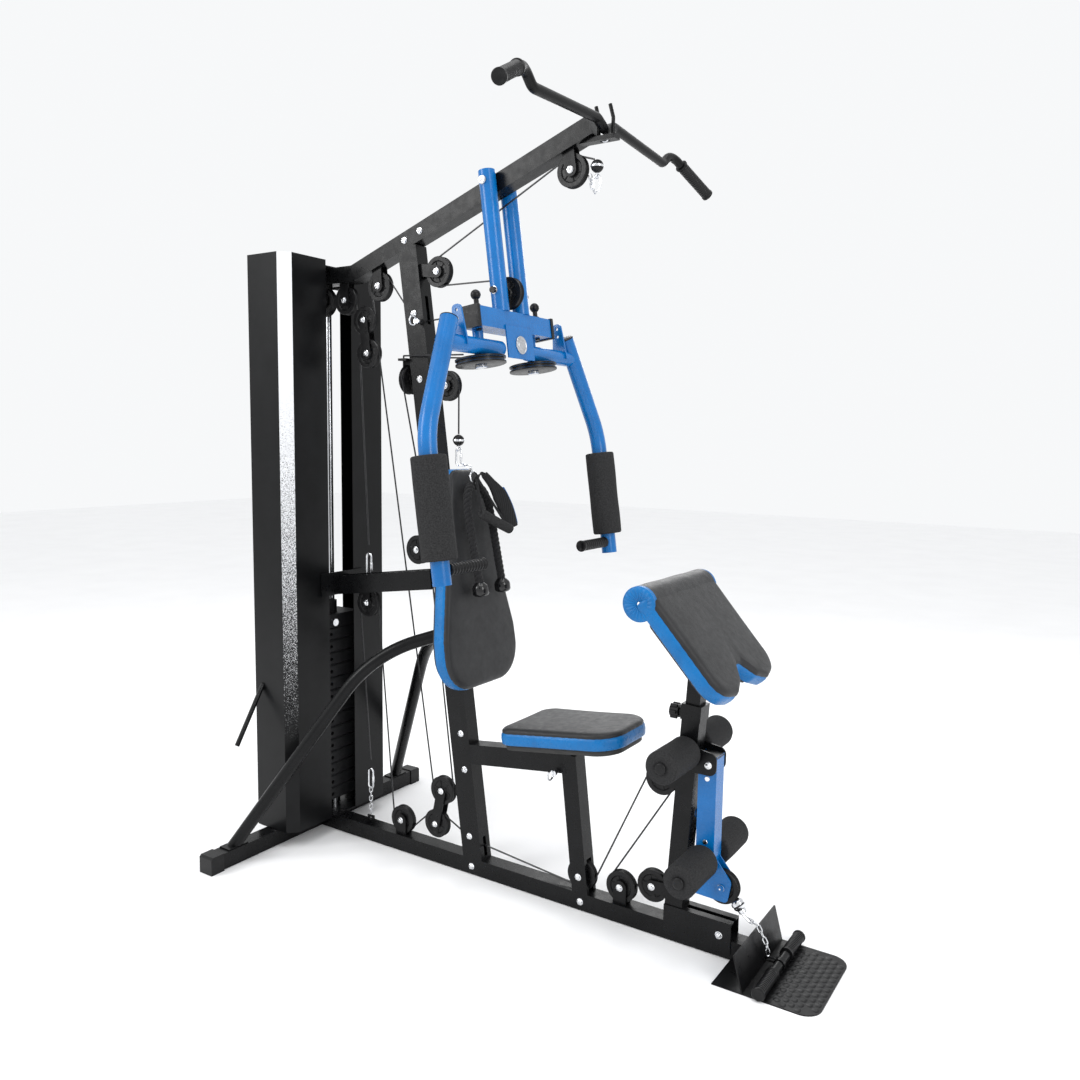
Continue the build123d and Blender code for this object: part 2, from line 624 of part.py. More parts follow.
def low_cable():
    """Low-row cable from the rail's chain to just short of the leg lever."""
    path = belt([(-214, 268), over(SINGLE, 1), over(RAIL_REAR, -1), over(FLOAT_LOWER, 1),
                 over(FOOT_WHEEL, -1, SMALL_LINE), over(SEAT_WHEEL, -1), over(POST_UPPER, 1),
                 over(RAIL_FRONT, -1), over(POST_REAR, 1), (970, 152)])
    return round_along(path, CABLE_R)


def lower_cables():
    return group(main_cable().solids() + low_cable().solids())


def row_cable_end():
    """The end of the low cable under the lever's pulley, with its rubber stopper."""
    path = belt([(970.4, 152), over(LEVER_WHEEL, -1), (1062, 152)])
    ball = rod((1064, 0, 151), (1076, 0, 137), 17) + rod((1076, 0, 137), (1086, 0, 125), 11)
    return joined([round_along(path, CABLE_R), ball])


def link(size=22.0, width=13.0, wire=3.6):
    """One oval chain link lying in the XZ plane, long way along Z."""
    face = SlotOverall(size, width, rotation=90) - SlotOverall(size - 2 * wire, width - 2 * wire, rotation=90)
    return Rot(90, 0, 0) * Pos(0, 0, -wire / 2) * extrude(face, wire)


def chain(points, size=22.0, width=13.0, wire=3.6):
    """Links set along a line of points, each turned a quarter from the last."""
    pitch = size - 2 * wire - 0.8
    links, turn = [], 0
    for start, end in zip(points, points[1:]):
        run = Vector(*end) - Vector(*start)
        count = max(1, round(run.length / pitch))
        for i in range(count):
            centre = Vector(*start) + run * ((i + 0.5) / count)
            frame = Plane(origin=centre, x_dir=(0, 1, 0), z_dir=run).location
            links.append(frame * Rot(0, 0, 90 * (turn % 2) + 45) * link(size, width, wire))
            turn += 1
    return links


def spring_clip(x, z, y=0.0, tall=70.0):
    """Snap hook: a long oval wire loop."""
    face = SlotOverall(tall, 26, rotation=90) - SlotOverall(tall - 12, 14, rotation=90)
    return Pos(x, y + 3, z) * Rot(90, 0, 0) * extrude(face, 6)


def stopper(x, z, radius=17.0):
    """Rubber ball at a cable's end with an eye below it."""
    ball = Pos(x, 0, z) * Sphere(radius)
    eye = Pos(x, 0, z - radius - 7) * Rot(0, 90, 0) * Torus(8, 2.2)
    return ball + eye


def chains_and_stoppers():
    """Pulldown chain, lower chain, snap hooks and the two ball stoppers."""
    lat_ball = stopper(606, 2050)
    chest_ball = stopper(CHEST[0] + LINE_R, 1327)
    hooks = [spring_clip(606, 2006.5, tall=45)]
    loop = chain([(603, 0, 1980), (592, 0, 1996), (585, 0, 2030)], size=20, width=12, wire=3)
    lower = chain([(-214, 0, 172), (-214, 0, 84)])
    lower_hook = spring_clip(-214, 204, tall=72)
    upper_hook = spring_clip(SINGLE[0], 918, tall=84)
    return group([lat_ball, chest_ball, joined(hooks + loop), joined([lower_hook] + lower), upper_hook])


# Moving parts

def weight_carriage():
    """Top plate with a yoke and the selector stem."""
    low = STACK_Z + PLATES * PLATE_PITCH
    top = block(STACK_X - 50, STACK_X + 50, -130, 130, low, low + 45)
    top += block(STACK_X - 30, STACK_X + 30, -34, 34, low + 45, low + 96)
    top -= block(STACK_X - 60, STACK_X + 60, -22, 22, low + 45.5, low + 84)
    for y in (-ROD_Y, ROD_Y):
        top -= rod((STACK_X, y, low - 1), (STACK_X, y, low + 60), 11)
        top += Pos(STACK_X, y, low + 45) * (Cylinder(17, 40, align=AXIS) - Cylinder(11, 40, align=AXIS))
    stem = rod((STACK_X, 0, low - 560), (STACK_X, 0, low + 20), 12)
    body = top + stem
    body += rod((STACK_X, 0, low + 90), (STACK_X, 0, 838.8), 8)
    for i in range(PLATES):
        z = low - (i + 0.5) * PLATE_PITCH - 0.3
        if z > low - 550:
            body -= rod((STACK_X - 20, 0, z), (STACK_X + 20, 0, z), 5.6)
    body -= rod((STACK_X - 20, 0, low + 22), (STACK_X + 60, 0, low + 22), 5.6)
    return body


def selector_pin():
    z = STACK_Z + PLATES * PLATE_PITCH + 22
    pin = rod((STACK_X - 14, 0, z), (STACK_X + 52, 0, z), 5.5)
    return pin + rod((STACK_X + 50.4, 0, z), (STACK_X + 72, 0, z), 12)


def press_frame():
    """Two round hangers, the cross box, the badge plate and the arms' pivots."""
    parts = []
    for y in (-50, 50):
        hanger_tube = rod((0, y, -359), (0, y, 30), 24) - rod((0, y, -357), (0, y, 28), 21.5)
        hanger_tube -= cross_rod(0, 0, 120, BOLT_R + 1)
        hanger_tube -= cross_rod(PRESS_DX, PRESS_DZ, 120, BOLT_R)
        parts.append(hanger_tube)
    box = block(-43, 17, -176, 176, -413, -359) - block(-40.5, 14.5, -173, 173, -410.5, -361.5)
    for y in (-145, 145):
        box -= rod((-13, y, -420), (-13, y, -350), 7)
    body = parts[0] + parts[1] + box
    body += block(17, 21, -65, 65, -491, -400)
    for y in (-130, 130):
        body += rod((-30, y, -509), (-30, y, -413), 9)
        body += rod((-30, y, -516), (-30, y, -509.5), 16)
    return PRESS * body


def press_trim():
    """Plastic end caps of the cross box, the round badge and the bolt of the press pulley."""
    caps = both_sides(block(-46, 20, 176.05, 188, -416, -356))
    badge = rod((21.05, 0, -452), (24, 0, -452), 25)
    bolt = cross_rod(PRESS_DX, PRESS_DZ, 84, BOLT_R)
    for side in (-1, 1):
        bolt += rod((PRESS_DX, side * 74.5, PRESS_DZ), (PRESS_DX, side * 84, PRESS_DZ), 9)
    return group([PRESS * piece for piece in caps + [badge, bolt]])


def to_press(x, z):
    """A point of the middle plane in the press frame's own axes."""
    a = math.radians(LEAN)
    dx, dz = x - PRESS_X, z - PRESS_Z
    return (dx * math.cos(a) + dz * math.sin(a), -dx * math.sin(a) + dz * math.cos(a))


PRESS_DX, PRESS_DZ = to_press(*PRESS_WHEEL)


def press_pivot():
    """Pivot bolt through the boom with its spacers, a head and a nut."""
    shank = cross_rod(PRESS_X, PRESS_Z, 84, PIVOT_R)
    ends = [rod((PRESS_X, s * 76, PRESS_Z), (PRESS_X, s * 88, PRESS_Z), 11) for s in (-1, 1)]
    return shank + ends[0] + ends[1]


def arm(side):
    """Swinging press arm: cam, sleeve, ear and bent tube, built for the -Y side."""
    path = bend_path([(-2, -288, -404), (-2, -429, -700), (-2, -429, -1080)], [240])
    shell = round_along(path, 24)
    bore = round_along(path, 21.5)
    sleeve = cross_rod(-6, -464, 120.5, 22.4, y=-188.5)
    hub = rod((-30, -130, -508.5), (-30, -130, -413.4), 15)
    cam = rod((-30, -130, -508), (-30, -130, -490), 70)
    groove = rod((-30, -130, -503), (-30, -130, -495), 80) - rod((-30, -130, -503), (-30, -130, -495), 64)
    ear = arm_ear()
    neck = block(-30, -6, -147, -113, -486, -442)
    body = sleeve + hub + neck - shell - bore + shell + (cam - groove)
    body += ear
    body -= bore
    body -= rod((-30, -130, -520), (-30, -130, -400), 9.05)
    body = body.solids().sort_by(SortBy.VOLUME)[-1]
    placed = PRESS * body
    return placed if side < 0 else mirror(placed, Plane.XZ)


def arm_ear():
    """Blue lug on the sleeve with two lock holes."""
    face = outline([(-28, -470), (22, -470), (10, -362), (-18, -362)], [0, 0, 12, 12])
    lug = Pos(0, -244, 0) * Rot(90, 0, 0) * extrude(face, 6)
    for x, z in ((-4, -377), (-4, -400)):
        lug -= cross_rod(x, z, 20, 4.5, y=-247)
    return lug


def arm_pads(side):
    """Foam sleeve and ribbed hand grip of one arm."""
    foam = rod((-2, -429, -1018), (-2, -429, -757), 46) - rod((-2, -429, -1019), (-2, -429, -756), 24.3)
    grip = cross_rod(-2, -1044, 74, 16, y=-327)
    for i in range(11):
        y = -262 - i * 12
        grip += cross_rod(-2, -1044, 3, 17.5, y=y)
    grip += cross_rod(-2, -1044, 4, 20, y=-256)
    pads = PRESS * group([foam, grip])
    return pads if side < 0 else mirror(pads, Plane.XZ)


def pop_pin(side):
    """Lock pin with a ball head that drops through the cross box."""
    y = side * 145
    pin = rod((-13, y, -418), (-13, y, -330), 6.9) + rod((-13, y, -358.6), (-13, y, -350), 11)
    pin += Pos(-13, y, -322) * Sphere(14)
    return PRESS * pin


def pull_pin(x, z, y, inward):
    """Spring pull pin along Y with a ring handle."""
    pin = rod((x, y, z), (x, y - inward, z), 6)
    head = rod((x, y - inward, z), (x, y - inward - 8, z), 9)
    ring = Pos(x, y - inward - 22, z) * Rot(0, 0, 90) * Rot(90, 0, 0) * Torus(14, 2.5)
    return pin + head + ring


def preacher_plane():
    """Frame on the curl pad's top surface at its upper edge, x down the slope."""
    a = math.radians(CURL_SLOPE)
    return Plane(origin=(CURL_X, 0, CURL_Z), x_dir=(math.cos(a), 0, -math.sin(a)),
                 z_dir=(math.sin(a), 0, math.cos(a))).location


def preacher_pad():
    """Arm-curl cushion with a rolled top edge and a notch, on a board."""
    points = [(-5, -196), (292, -190), (312, -110), (292, -62), (246, -20), (246, 20), (292, 62),
              (312, 110), (292, 190), (-5, 196)]
    slab = extrude(outline(points, [10, 60, 20, 18, 16, 16, 18, 20, 60, 10]), 50)
    roll = rod((0, -196, 8.5), (0, 196, 8.5), ROLL_R)
    inner = [(52, -180), (282, -172), (286, -66), (236, -24), (236, 24), (286, 66), (282, 172), (52, 180)]
    board = extrude(outline(inner, [10, 40, 14, 14, 14, 14, 40, 10]), 10)
    cushion = preacher_plane() * Pos(0, 0, -50) * (slab + roll)
    return group([cushion, preacher_plane() * Pos(0, 0, -60.3) * board])


def preacher_post():
    """Curl pad's post with its top plate."""
    bottom, top = 145.0, 470.0
    height = top - bottom
    post = FRONT_POST * Pos(0, 0, bottom) * (Box(40, 40, height, align=AXIS) - Box(35, 35, height, align=AXIS))
    cut = preacher_plane() * Pos(120, 0, 239.6) * Box(700, 500, 600)
    plate = preacher_plane() * Pos(125, 0, -63.5) * Box(150, 120, 5.8)
    for z in (280, 310, 340, 370):
        post -= FRONT_POST * rod((-40, 0, z), (0, 0, z), 5)
    return post - cut + plate


def post_knob():
    """Star knob whose pin locks the curl post."""
    z = 628
    x = post_x(z)
    pin = rod((x - 20.6, 0, z), (x - 60, 0, z), 6.1)
    knob = rod((x - 42, 0, z), (x - 66, 0, z), 17)
    for i in range(6):
        a = math.radians(60 * i)
        knob += rod((x - 46, 17 * math.cos(a), z + 17 * math.sin(a)),
                    (x - 64, 17 * math.cos(a), z + 17 * math.sin(a)), 5)
    return pin + knob


def leg_lever():
    """Leg lever: square tube, foot plates for its pulley, top cap and pivot bolt."""
    x = LEVER_MID
    body = block(x - 25, x + 25, -25, 25, 232, 525) - block(x - 22.5, x + 22.5, -22.5, 22.5, 234.5, 522.5)
    face = outline([(x - 42, 150), (x + 62, 146), (x + 72, 205), (x + 24, 262), (x - 24, 262)],
                   [8, 12, 20, 10, 10])
    for y in (-12.2, 15.2):
        body += Pos(0, y, 0) * Rot(90, 0, 0) * extrude(face, 3)
    body += block(x - 25, x + 25, -22.5, 22.5, 232, 236)
    body -= cross_rod(LEVER_X, LEVER_Z, 40, BOLT_R + 1)
    body -= cross_rod(*LEVER_WHEEL, 40, BOLT_R)
    body -= cross_rod(x, ANKLE_Z, 40, 9)
    cap = block(x - 25, x + 25, -25, 25, 525.05, 531)
    bumper = rod((x - 25.05, 0, 363), (x - 37, 0, 363), 11)
    bolt = bolt_across(*LEVER_WHEEL, 15.4)
    return group([body, cap, bumper, bolt])


def lever_pivot():
    """Pivot bolt of the leg lever, fixed in the post's ears."""
    x, z = LEVER_X, LEVER_Z
    return cross_rod(x, z, 40, PIVOT_R) + rod((x, -42, z), (x, -33.6, z), 9) + rod((x, 33.6, z), (x, 42, z), 9)


def rollers(x, z):
    """Two foam rollers on one axle with end caps."""
    parts = [cross_rod(x, z, 196, 8.9)]
    for s in (-1, 1):
        foam = rod((x, s * 38, z), (x, s * 186, z), 44) - rod((x, s * 37, z), (x, s * 187, z), 8.9)
        cap = rod((x, s * 186.05, z), (x, s * 194, z), 15) - rod((x, s * 180, z), (x, s * 200, z), 8.9)
        parts += [foam, cap]
    return group(parts)


def lat_bar():
    """Pulldown bar with cranked ends and two foam grips."""
    half = [(628, 0, 2137), (628, 44, 2156), (628, 345, 2138), (630, 384, 2170), (640, 414, 2160),
            (682, 552, 2086)]
    points = [(x, -y, z) for x, y, z in reversed(half)] + half[1:]
    radii = [16, 26, 30, 40, 30, 40, 30, 26, 16]
    steel = round_along(bend_path(points, radii), 13)
    grips = [rod((647, s * 437, 2148), (682.6, s * 554, 2085), 18) for s in (-1, 1)]
    ring = Pos(628, 0, 2117.5) * Rot(90, 0, 0) * Torus(9, 2.4)
    return joined([steel] + grips + [ring])


def row_bar():
    """Straight bar with two grips lying on the foot plate, its eye, chain and hook."""
    x, z = 1184.0, 20.9
    steel = cross_rod(x, z, 158, 12)
    grips = [rod((x, s * 52, z), (x, s * 160, z), 17.6) for s in (-1, 1)]
    eye = block(x - 34, x, -4, 4, z - 3, z + 9)
    links = chain([(1096, 0, 114), (1124, 0, 104), (1148, 0, 62), (1153, 0, 34)])
    return joined([steel + eye] + grips + links)


def accessory_chain():
    """Snap hooks and links that carry the hung accessories."""
    x = CHEST[0] + LINE_R
    hook = Pos(x, 0, 1278) * Rot(90, 0, 0) * Pos(0, 0, -3) * extrude(
        SlotOverall(56, 24, rotation=90) - SlotOverall(44, 12, rotation=90), 6)
    links = chain([(x + 3, 0, 1257), (x + 20, 0, 1255), (x + 44, 0, 1249), (x + 54, 0, 1234)])
    ring = Pos(x + 58, 0, 1218) * Rot(0, 80, 0) * Torus(18, 2.6)
    return joined([hook] + links + [ring])


def triceps_rope():
    """Doubled rope with two ball ends, hanging down the front of the back cushion."""
    path = bend_path([(262, -40, 905), (222, -50, 1120), (206, -34, 1196), (206, 34, 1196), (222, 62, 1120),
                      (262, 70, 905)], [60, 30, 30, 60])
    rope = round_along(path, 13)
    ends = [rod((266, y, 872), (262, y, 906), 22) for y in (-40, 70)]
    return joined([rope] + ends)


def ankle_strap():
    """Nylon ankle strap folded in a loop."""
    outer = bend_path([(232, 34, 1226), (256, 80, 1150), (264, 114, 1062)], [300])
    face = Plane(origin=outer @ 0, z_dir=outer % 0) * Rectangle(14, 56)
    return sweep(face, path=outer)


def stirrup_handle():
    """Strap triangle with a round foam hand grip."""
    grip = rod((262, -40, 1118), (286, 80, 1062), 15)
    straps = [rod((222, -8, 1214), (264, -34, 1124), 5), rod((222, 0, 1214), (284, 74, 1066), 5)]
    return joined([grip] + straps)


def folded(line, sheet):
    """Face of a folded sheet whose outer face follows the line."""
    return make_face(offset(line, sheet, kind=Kind.INTERSECTION, side=Side.LEFT).edges())


def write(name, shape):
    """Move a sub-part onto the origin and write it."""
    moved = Pos(-MIDDLE, 0, 0) * shape
    moved.label = name
    export_step(moved, f"parts/{name}.step")


def main():
    os.makedirs("parts", exist_ok=True)
    nodes = {
        "rear_stabiliser": rear_stabiliser(),
        "frame_end_caps": frame_end_caps(),
        "base_rail": base_rail(),
        "foot_plate": foot_plate(),
        "main_upright": main_upright(),
        "top_boom": top_boom(),
        "right_guard": guard(-1),
        "left_guard": guard(1),
        "tower_plates": tower_plates(),
        "guide_rods": guide_rods(),
        "weight_plates": weight_plates(),
        "side_braces": side_braces(),
        "rear_strut": rear_strut(),
        "seat_frame": seat_frame(),
        "seat_pad": seat_pad(),
        "backrest_pad": backrest_pad(),
        "front_post": front_post(),
        "frame_brackets": frame_brackets(),
        "frame_bolts": frame_bolts(),
        "upper_cables": upper_cables(),
        "lower_cables": lower_cables(),
        "lift_cable": lift_cable(),
        "guide_pulleys": guide_pulleys(),
        "chains_and_stoppers": chains_and_stoppers(),
        "weight_carriage": weight_carriage(),
        "selector_pin": selector_pin(),
        "press_frame": press_frame(),
        "press_trim": press_trim(),
        "press_cable_loop": press_cable_loop(),
        "right_arm": arm(-1),
        "left_arm": arm(1),
        "right_arm_pads": arm_pads(-1),
        "left_arm_pads": arm_pads(1),
        "right_pop_pin": pop_pin(-1),
        "left_pop_pin": pop_pin(1),
        "preacher_pad": preacher_pad(),
        "preacher_post": preacher_post(),
        "post_knob": post_knob(),
        "leg_lever": leg_lever(),
        "row_cable_end": row_cable_end(),
        "row_bar": row_bar(),
        "knee_rollers": rollers(post_x(KNEE_Z), KNEE_Z),
        "ankle_rollers": rollers(LEVER_MID, ANKLE_Z),
        "lat_bar": lat_bar(),
        "accessory_chain": accessory_chain(),
        "triceps_rope": triceps_rope(),
        "ankle_strap": ankle_strap(),
        "stirrup_handle": stirrup_handle(),
        "seat_pull_pin": pull_pin(526, 392, -25.2, 10),
        "upright_pull_pin": pull_pin(upright_x(1678) + 20, 1678, -25.2, 10),
    }
    spinning = {
        "boom_tip_pulley": BOOM_TIP_WHEEL,
        "upright_front_pulley": UPRIGHT_FRONT,
        "press_pulley": PRESS_WHEEL,
        "boom_mid_pulley": BOOM_MID,
        "chest_pulley": CHEST,
        "rail_rear_pulley": RAIL_REAR,
        "seat_post_pulley": SEAT_WHEEL,
        "rail_front_pulley": RAIL_FRONT,
        "post_upper_pulley": POST_UPPER,
        "lever_pulley": LEVER_WHEEL,
    }
    for name, centre in spinning.items():
        nodes[name] = wheel(centre)
    for name, shape in nodes.items():
        write(name, shape)
    print(len(nodes), "nodes")


main()
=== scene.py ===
# %% [markdown]
# A home gym is mostly straight steel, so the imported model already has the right
# shapes. This script loads it as a fixed frame, then gives every finish its grain,
# and makes again the things that a plain solid can't show: crowned cushions,
# foam, rope, chain, turned wheels and bright bolts.

# %% Load the frame
import math
import bpy
import bmesh
import numpy as np
from mathutils import Matrix, Vector


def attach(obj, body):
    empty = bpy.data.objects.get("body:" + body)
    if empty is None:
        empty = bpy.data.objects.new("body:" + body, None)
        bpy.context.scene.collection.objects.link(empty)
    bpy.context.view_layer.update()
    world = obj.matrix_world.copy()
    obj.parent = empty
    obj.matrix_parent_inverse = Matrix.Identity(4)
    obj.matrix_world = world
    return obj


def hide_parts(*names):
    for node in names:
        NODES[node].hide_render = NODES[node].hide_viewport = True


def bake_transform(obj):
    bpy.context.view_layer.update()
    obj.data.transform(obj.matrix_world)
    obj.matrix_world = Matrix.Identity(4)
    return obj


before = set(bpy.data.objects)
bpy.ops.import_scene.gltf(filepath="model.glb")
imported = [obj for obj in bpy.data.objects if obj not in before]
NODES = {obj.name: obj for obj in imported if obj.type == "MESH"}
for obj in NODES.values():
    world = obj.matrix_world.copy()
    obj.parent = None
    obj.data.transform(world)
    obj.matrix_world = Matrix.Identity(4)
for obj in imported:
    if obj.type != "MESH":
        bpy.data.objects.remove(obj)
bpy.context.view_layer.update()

# %% [markdown]
# The machine was laid out in millimetres from a datum 410 mm behind the middle of
# its footprint. One function turns those numbers into the frame's metres, and one
# small class per leaning part turns a part's own numbers into the datum's.

# %% Places
DATUM = np.array([410.0, 0.0, 0.0])


def row(points):
    """Metres in the frame = (millimetres from the datum - the datum's offset) / 1000."""
    return (np.asarray(points, float) - DATUM) / 1000.0


class Tilt:
    """A part's own axes, turned about Y: place = origin + x * along + y * side + z * normal."""

    def __init__(self, x, z, degrees):
        a = math.radians(degrees)
        self.origin = np.array([x, 0.0, z])
        self.axes = np.array([[math.cos(a), 0, math.sin(a)], [0, 1, 0], [-math.sin(a), 0, math.cos(a)]])

    def __call__(self, points):
        return self.origin + np.asarray(points, float) @ self.axes


UPRIGHT_FOOT, LEAN = (228, 53), 8
PRESS_PIVOT = (286, 2041)
POST_FOOT, POST_LEAN = (917, 403), 3.6
BOOM_BEND, BOOM_RISE = (-257, 1841), 20

LEVEL = Tilt(0, 0, 0)
UPRIGHT = Tilt(*UPRIGHT_FOOT, LEAN)
PRESS = Tilt(*PRESS_PIVOT, LEAN)
SEAT = Tilt(386, 520, 7)
CURL = Tilt(888, 964, -48.5)

# %% [markdown]
# Every new piece is one or more surfaces, each a grid of points worked out from two
# parameters. A small collector joins the surfaces of one piece and writes them to a
# mesh in one go, which is faster and cleaner than adding faces one by one.

# %% Surfaces to meshes


def grid(points, close_u=False, close_v=True, finish=0):
    """Faces of a grid of points (u, v, 3), wrapped round in v and, if asked, in u."""
    points = np.asarray(points, float)
    nu, nv = points.shape[:2]
    iu = np.arange(nu if close_u else nu - 1)[:, None]
    iv = np.arange(nv if close_v else nv - 1)[None, :]
    a = iu * nv + iv
    b = ((iu + 1) % nu) * nv + iv
    c = ((iu + 1) % nu) * nv + (iv + 1) % nv
    d = iu * nv + (iv + 1) % nv
    quads = np.stack([a, b, c, d], -1).reshape(-1, 4)
    marks = np.full(len(quads), finish) if np.isscalar(finish) else np.repeat(np.asarray(finish), iv.size)
    return points.reshape(-1, 3), quads, marks


def make(name, surfaces, finishes, body, replaces=(), angle=35.0):
    """One mesh object from several surfaces (points in datum millimetres), riding on a body."""
    sizes = np.cumsum([0] + [len(s[0]) for s in surfaces])
    points = row(np.concatenate([s[0] for s in surfaces]))
    quads = np.concatenate([s[1] + shift for s, shift in zip(surfaces, sizes)])
    marks = np.concatenate([s[2] for s in surfaces])
    mesh = bpy.data.meshes.new(name)
    mesh.vertices.add(len(points))
    mesh.vertices.foreach_set("co", points.ravel())
    mesh.loops.add(quads.size)
    mesh.loops.foreach_set("vertex_index", quads.ravel().astype(np.int32))
    mesh.polygons.add(len(quads))
    mesh.polygons.foreach_set("loop_start", np.arange(0, quads.size, 4, dtype=np.int32))
    mesh.polygons.foreach_set("material_index", marks.astype(np.int32))
    mesh.update(calc_edges=True)
    work = bmesh.new()
    work.from_mesh(mesh)
    bmesh.ops.remove_doubles(work, verts=work.verts, dist=2e-6)
    bmesh.ops.recalc_face_normals(work, faces=work.faces)
    work.to_mesh(mesh)
    work.free()
    mesh.polygons.foreach_set("use_smooth", np.ones(len(mesh.polygons), bool))
    mesh.set_sharp_from_angle(angle=math.radians(angle))
    for finish in (finishes if isinstance(finishes, (list, tuple)) else [finishes]):
        mesh.materials.append(finish)
    piece = bpy.data.objects.new(name, mesh)
    bpy.context.scene.collection.objects.link(piece)
    if body:
        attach(piece, body)
    if replaces:
        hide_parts(*replaces)
    return piece


def axes_about(direction):
    """Two unit vectors square to a direction, and the direction made one long."""
    d = np.asarray(direction, float)
    d = d / np.linalg.norm(d)
    helper = np.array([0.0, 0, 1]) if abs(d[2]) < 0.9 else np.array([1.0, 0, 0])
    e = np.cross(helper, d)
    e /= np.linalg.norm(e)
    return d, e, np.cross(d, e)


def turned(start, direction, profile, around=40, finish=0):
    """Turned shape: each (distance, radius) of the profile swept round the axis; ends close on the axis."""
    d, e, g = axes_about(direction)
    profile = np.asarray(profile, float)
    angle = np.linspace(0, 2 * np.pi, around, endpoint=False)
    ring = np.cos(angle)[:, None] * e + np.sin(angle)[:, None] * g
    points = (np.asarray(start, float) + profile[:, 0, None, None] * d
              + profile[:, 1, None, None] * ring[None])
    return grid(points, finish=finish)


def swept(path, radius, around=14, closed=False, side=(0, 1, 0), squeeze=1.0, finish=0, caps=True):
    """Tube: a circle carried along the path, square to it, with its frame held to the side vector."""
    path = np.asarray(path, float)
    ahead = np.roll(path, -1, 0) - np.roll(path, 1, 0)
    if not closed:
        ahead[0], ahead[-1] = path[1] - path[0], path[-1] - path[-2]
    ahead /= np.linalg.norm(ahead, axis=1)[:, None]
    e = np.cross(ahead, np.asarray(side, float))
    e /= np.linalg.norm(e, axis=1)[:, None]
    g = np.cross(e, ahead)
    angle = np.linspace(0, 2 * np.pi, around, endpoint=False)
    radius = np.broadcast_to(np.asarray(radius, float), (len(path),))[:, None, None]
    points = path[:, None] + radius * (np.cos(angle)[None, :, None] * e[:, None]
                                       + squeeze * np.sin(angle)[None, :, None] * g[:, None])
    if caps and not closed:
        points = np.concatenate([np.repeat(path[:1, None], around, 1), points,
                                 np.repeat(path[-1:, None], around, 1)])
    return grid(points, close_u=closed, finish=finish)


def bent(points, radii, steps=9):
    """Path of straight runs whose corners are rounded by arcs, cut evenly between the tangent points."""
    points = np.asarray(points, float)
    out = [points[:1]]
    for before, corner, after, radius in zip(points, points[1:], points[2:], radii):
        u = (before - corner) / np.linalg.norm(before - corner)
        v = (after - corner) / np.linalg.norm(after - corner)
        half = math.acos(np.clip(u @ v, -1, 1)) / 2
        reach = radius / math.tan(half)
        middle = corner + (u + v) / np.linalg.norm(u + v) * radius / math.sin(half)
        a, b = corner + u * reach - middle, corner + v * reach - middle
        sweep = math.acos(np.clip(a @ b / radius ** 2, -1, 1))
        t = np.linspace(0, 1, steps)[:, None]
        out.append(middle + (np.sin((1 - t) * sweep) * a + np.sin(t * sweep) * b) / math.sin(sweep))
    out.append(points[-1:])
    return np.concatenate(out)


def denser(path, step):
    """The path with points added so that none are more than a step apart, by straight interpolation."""
    path = np.asarray(path, float)
    run = np.concatenate([[0], np.cumsum(np.linalg.norm(np.diff(path, axis=0), axis=1))])
    count = max(2, int(run[-1] / step))
    at = np.unique(np.concatenate([run, np.linspace(0, run[-1], count)]))
    return np.stack([np.interp(at, run, path[:, k]) for k in range(3)], 1)


# %% [markdown]
# Finishes. Powder coat is a sprayed plastic skin, so it has a fine orange peel and a
# slightly uneven sheen. Plated steel is bright with faint haze. Moulded plastic and
# foam are matt with pores. Each is a node material that reads object coordinates, so
# the grain keeps its real size on every piece.

# %% A helper for node materials


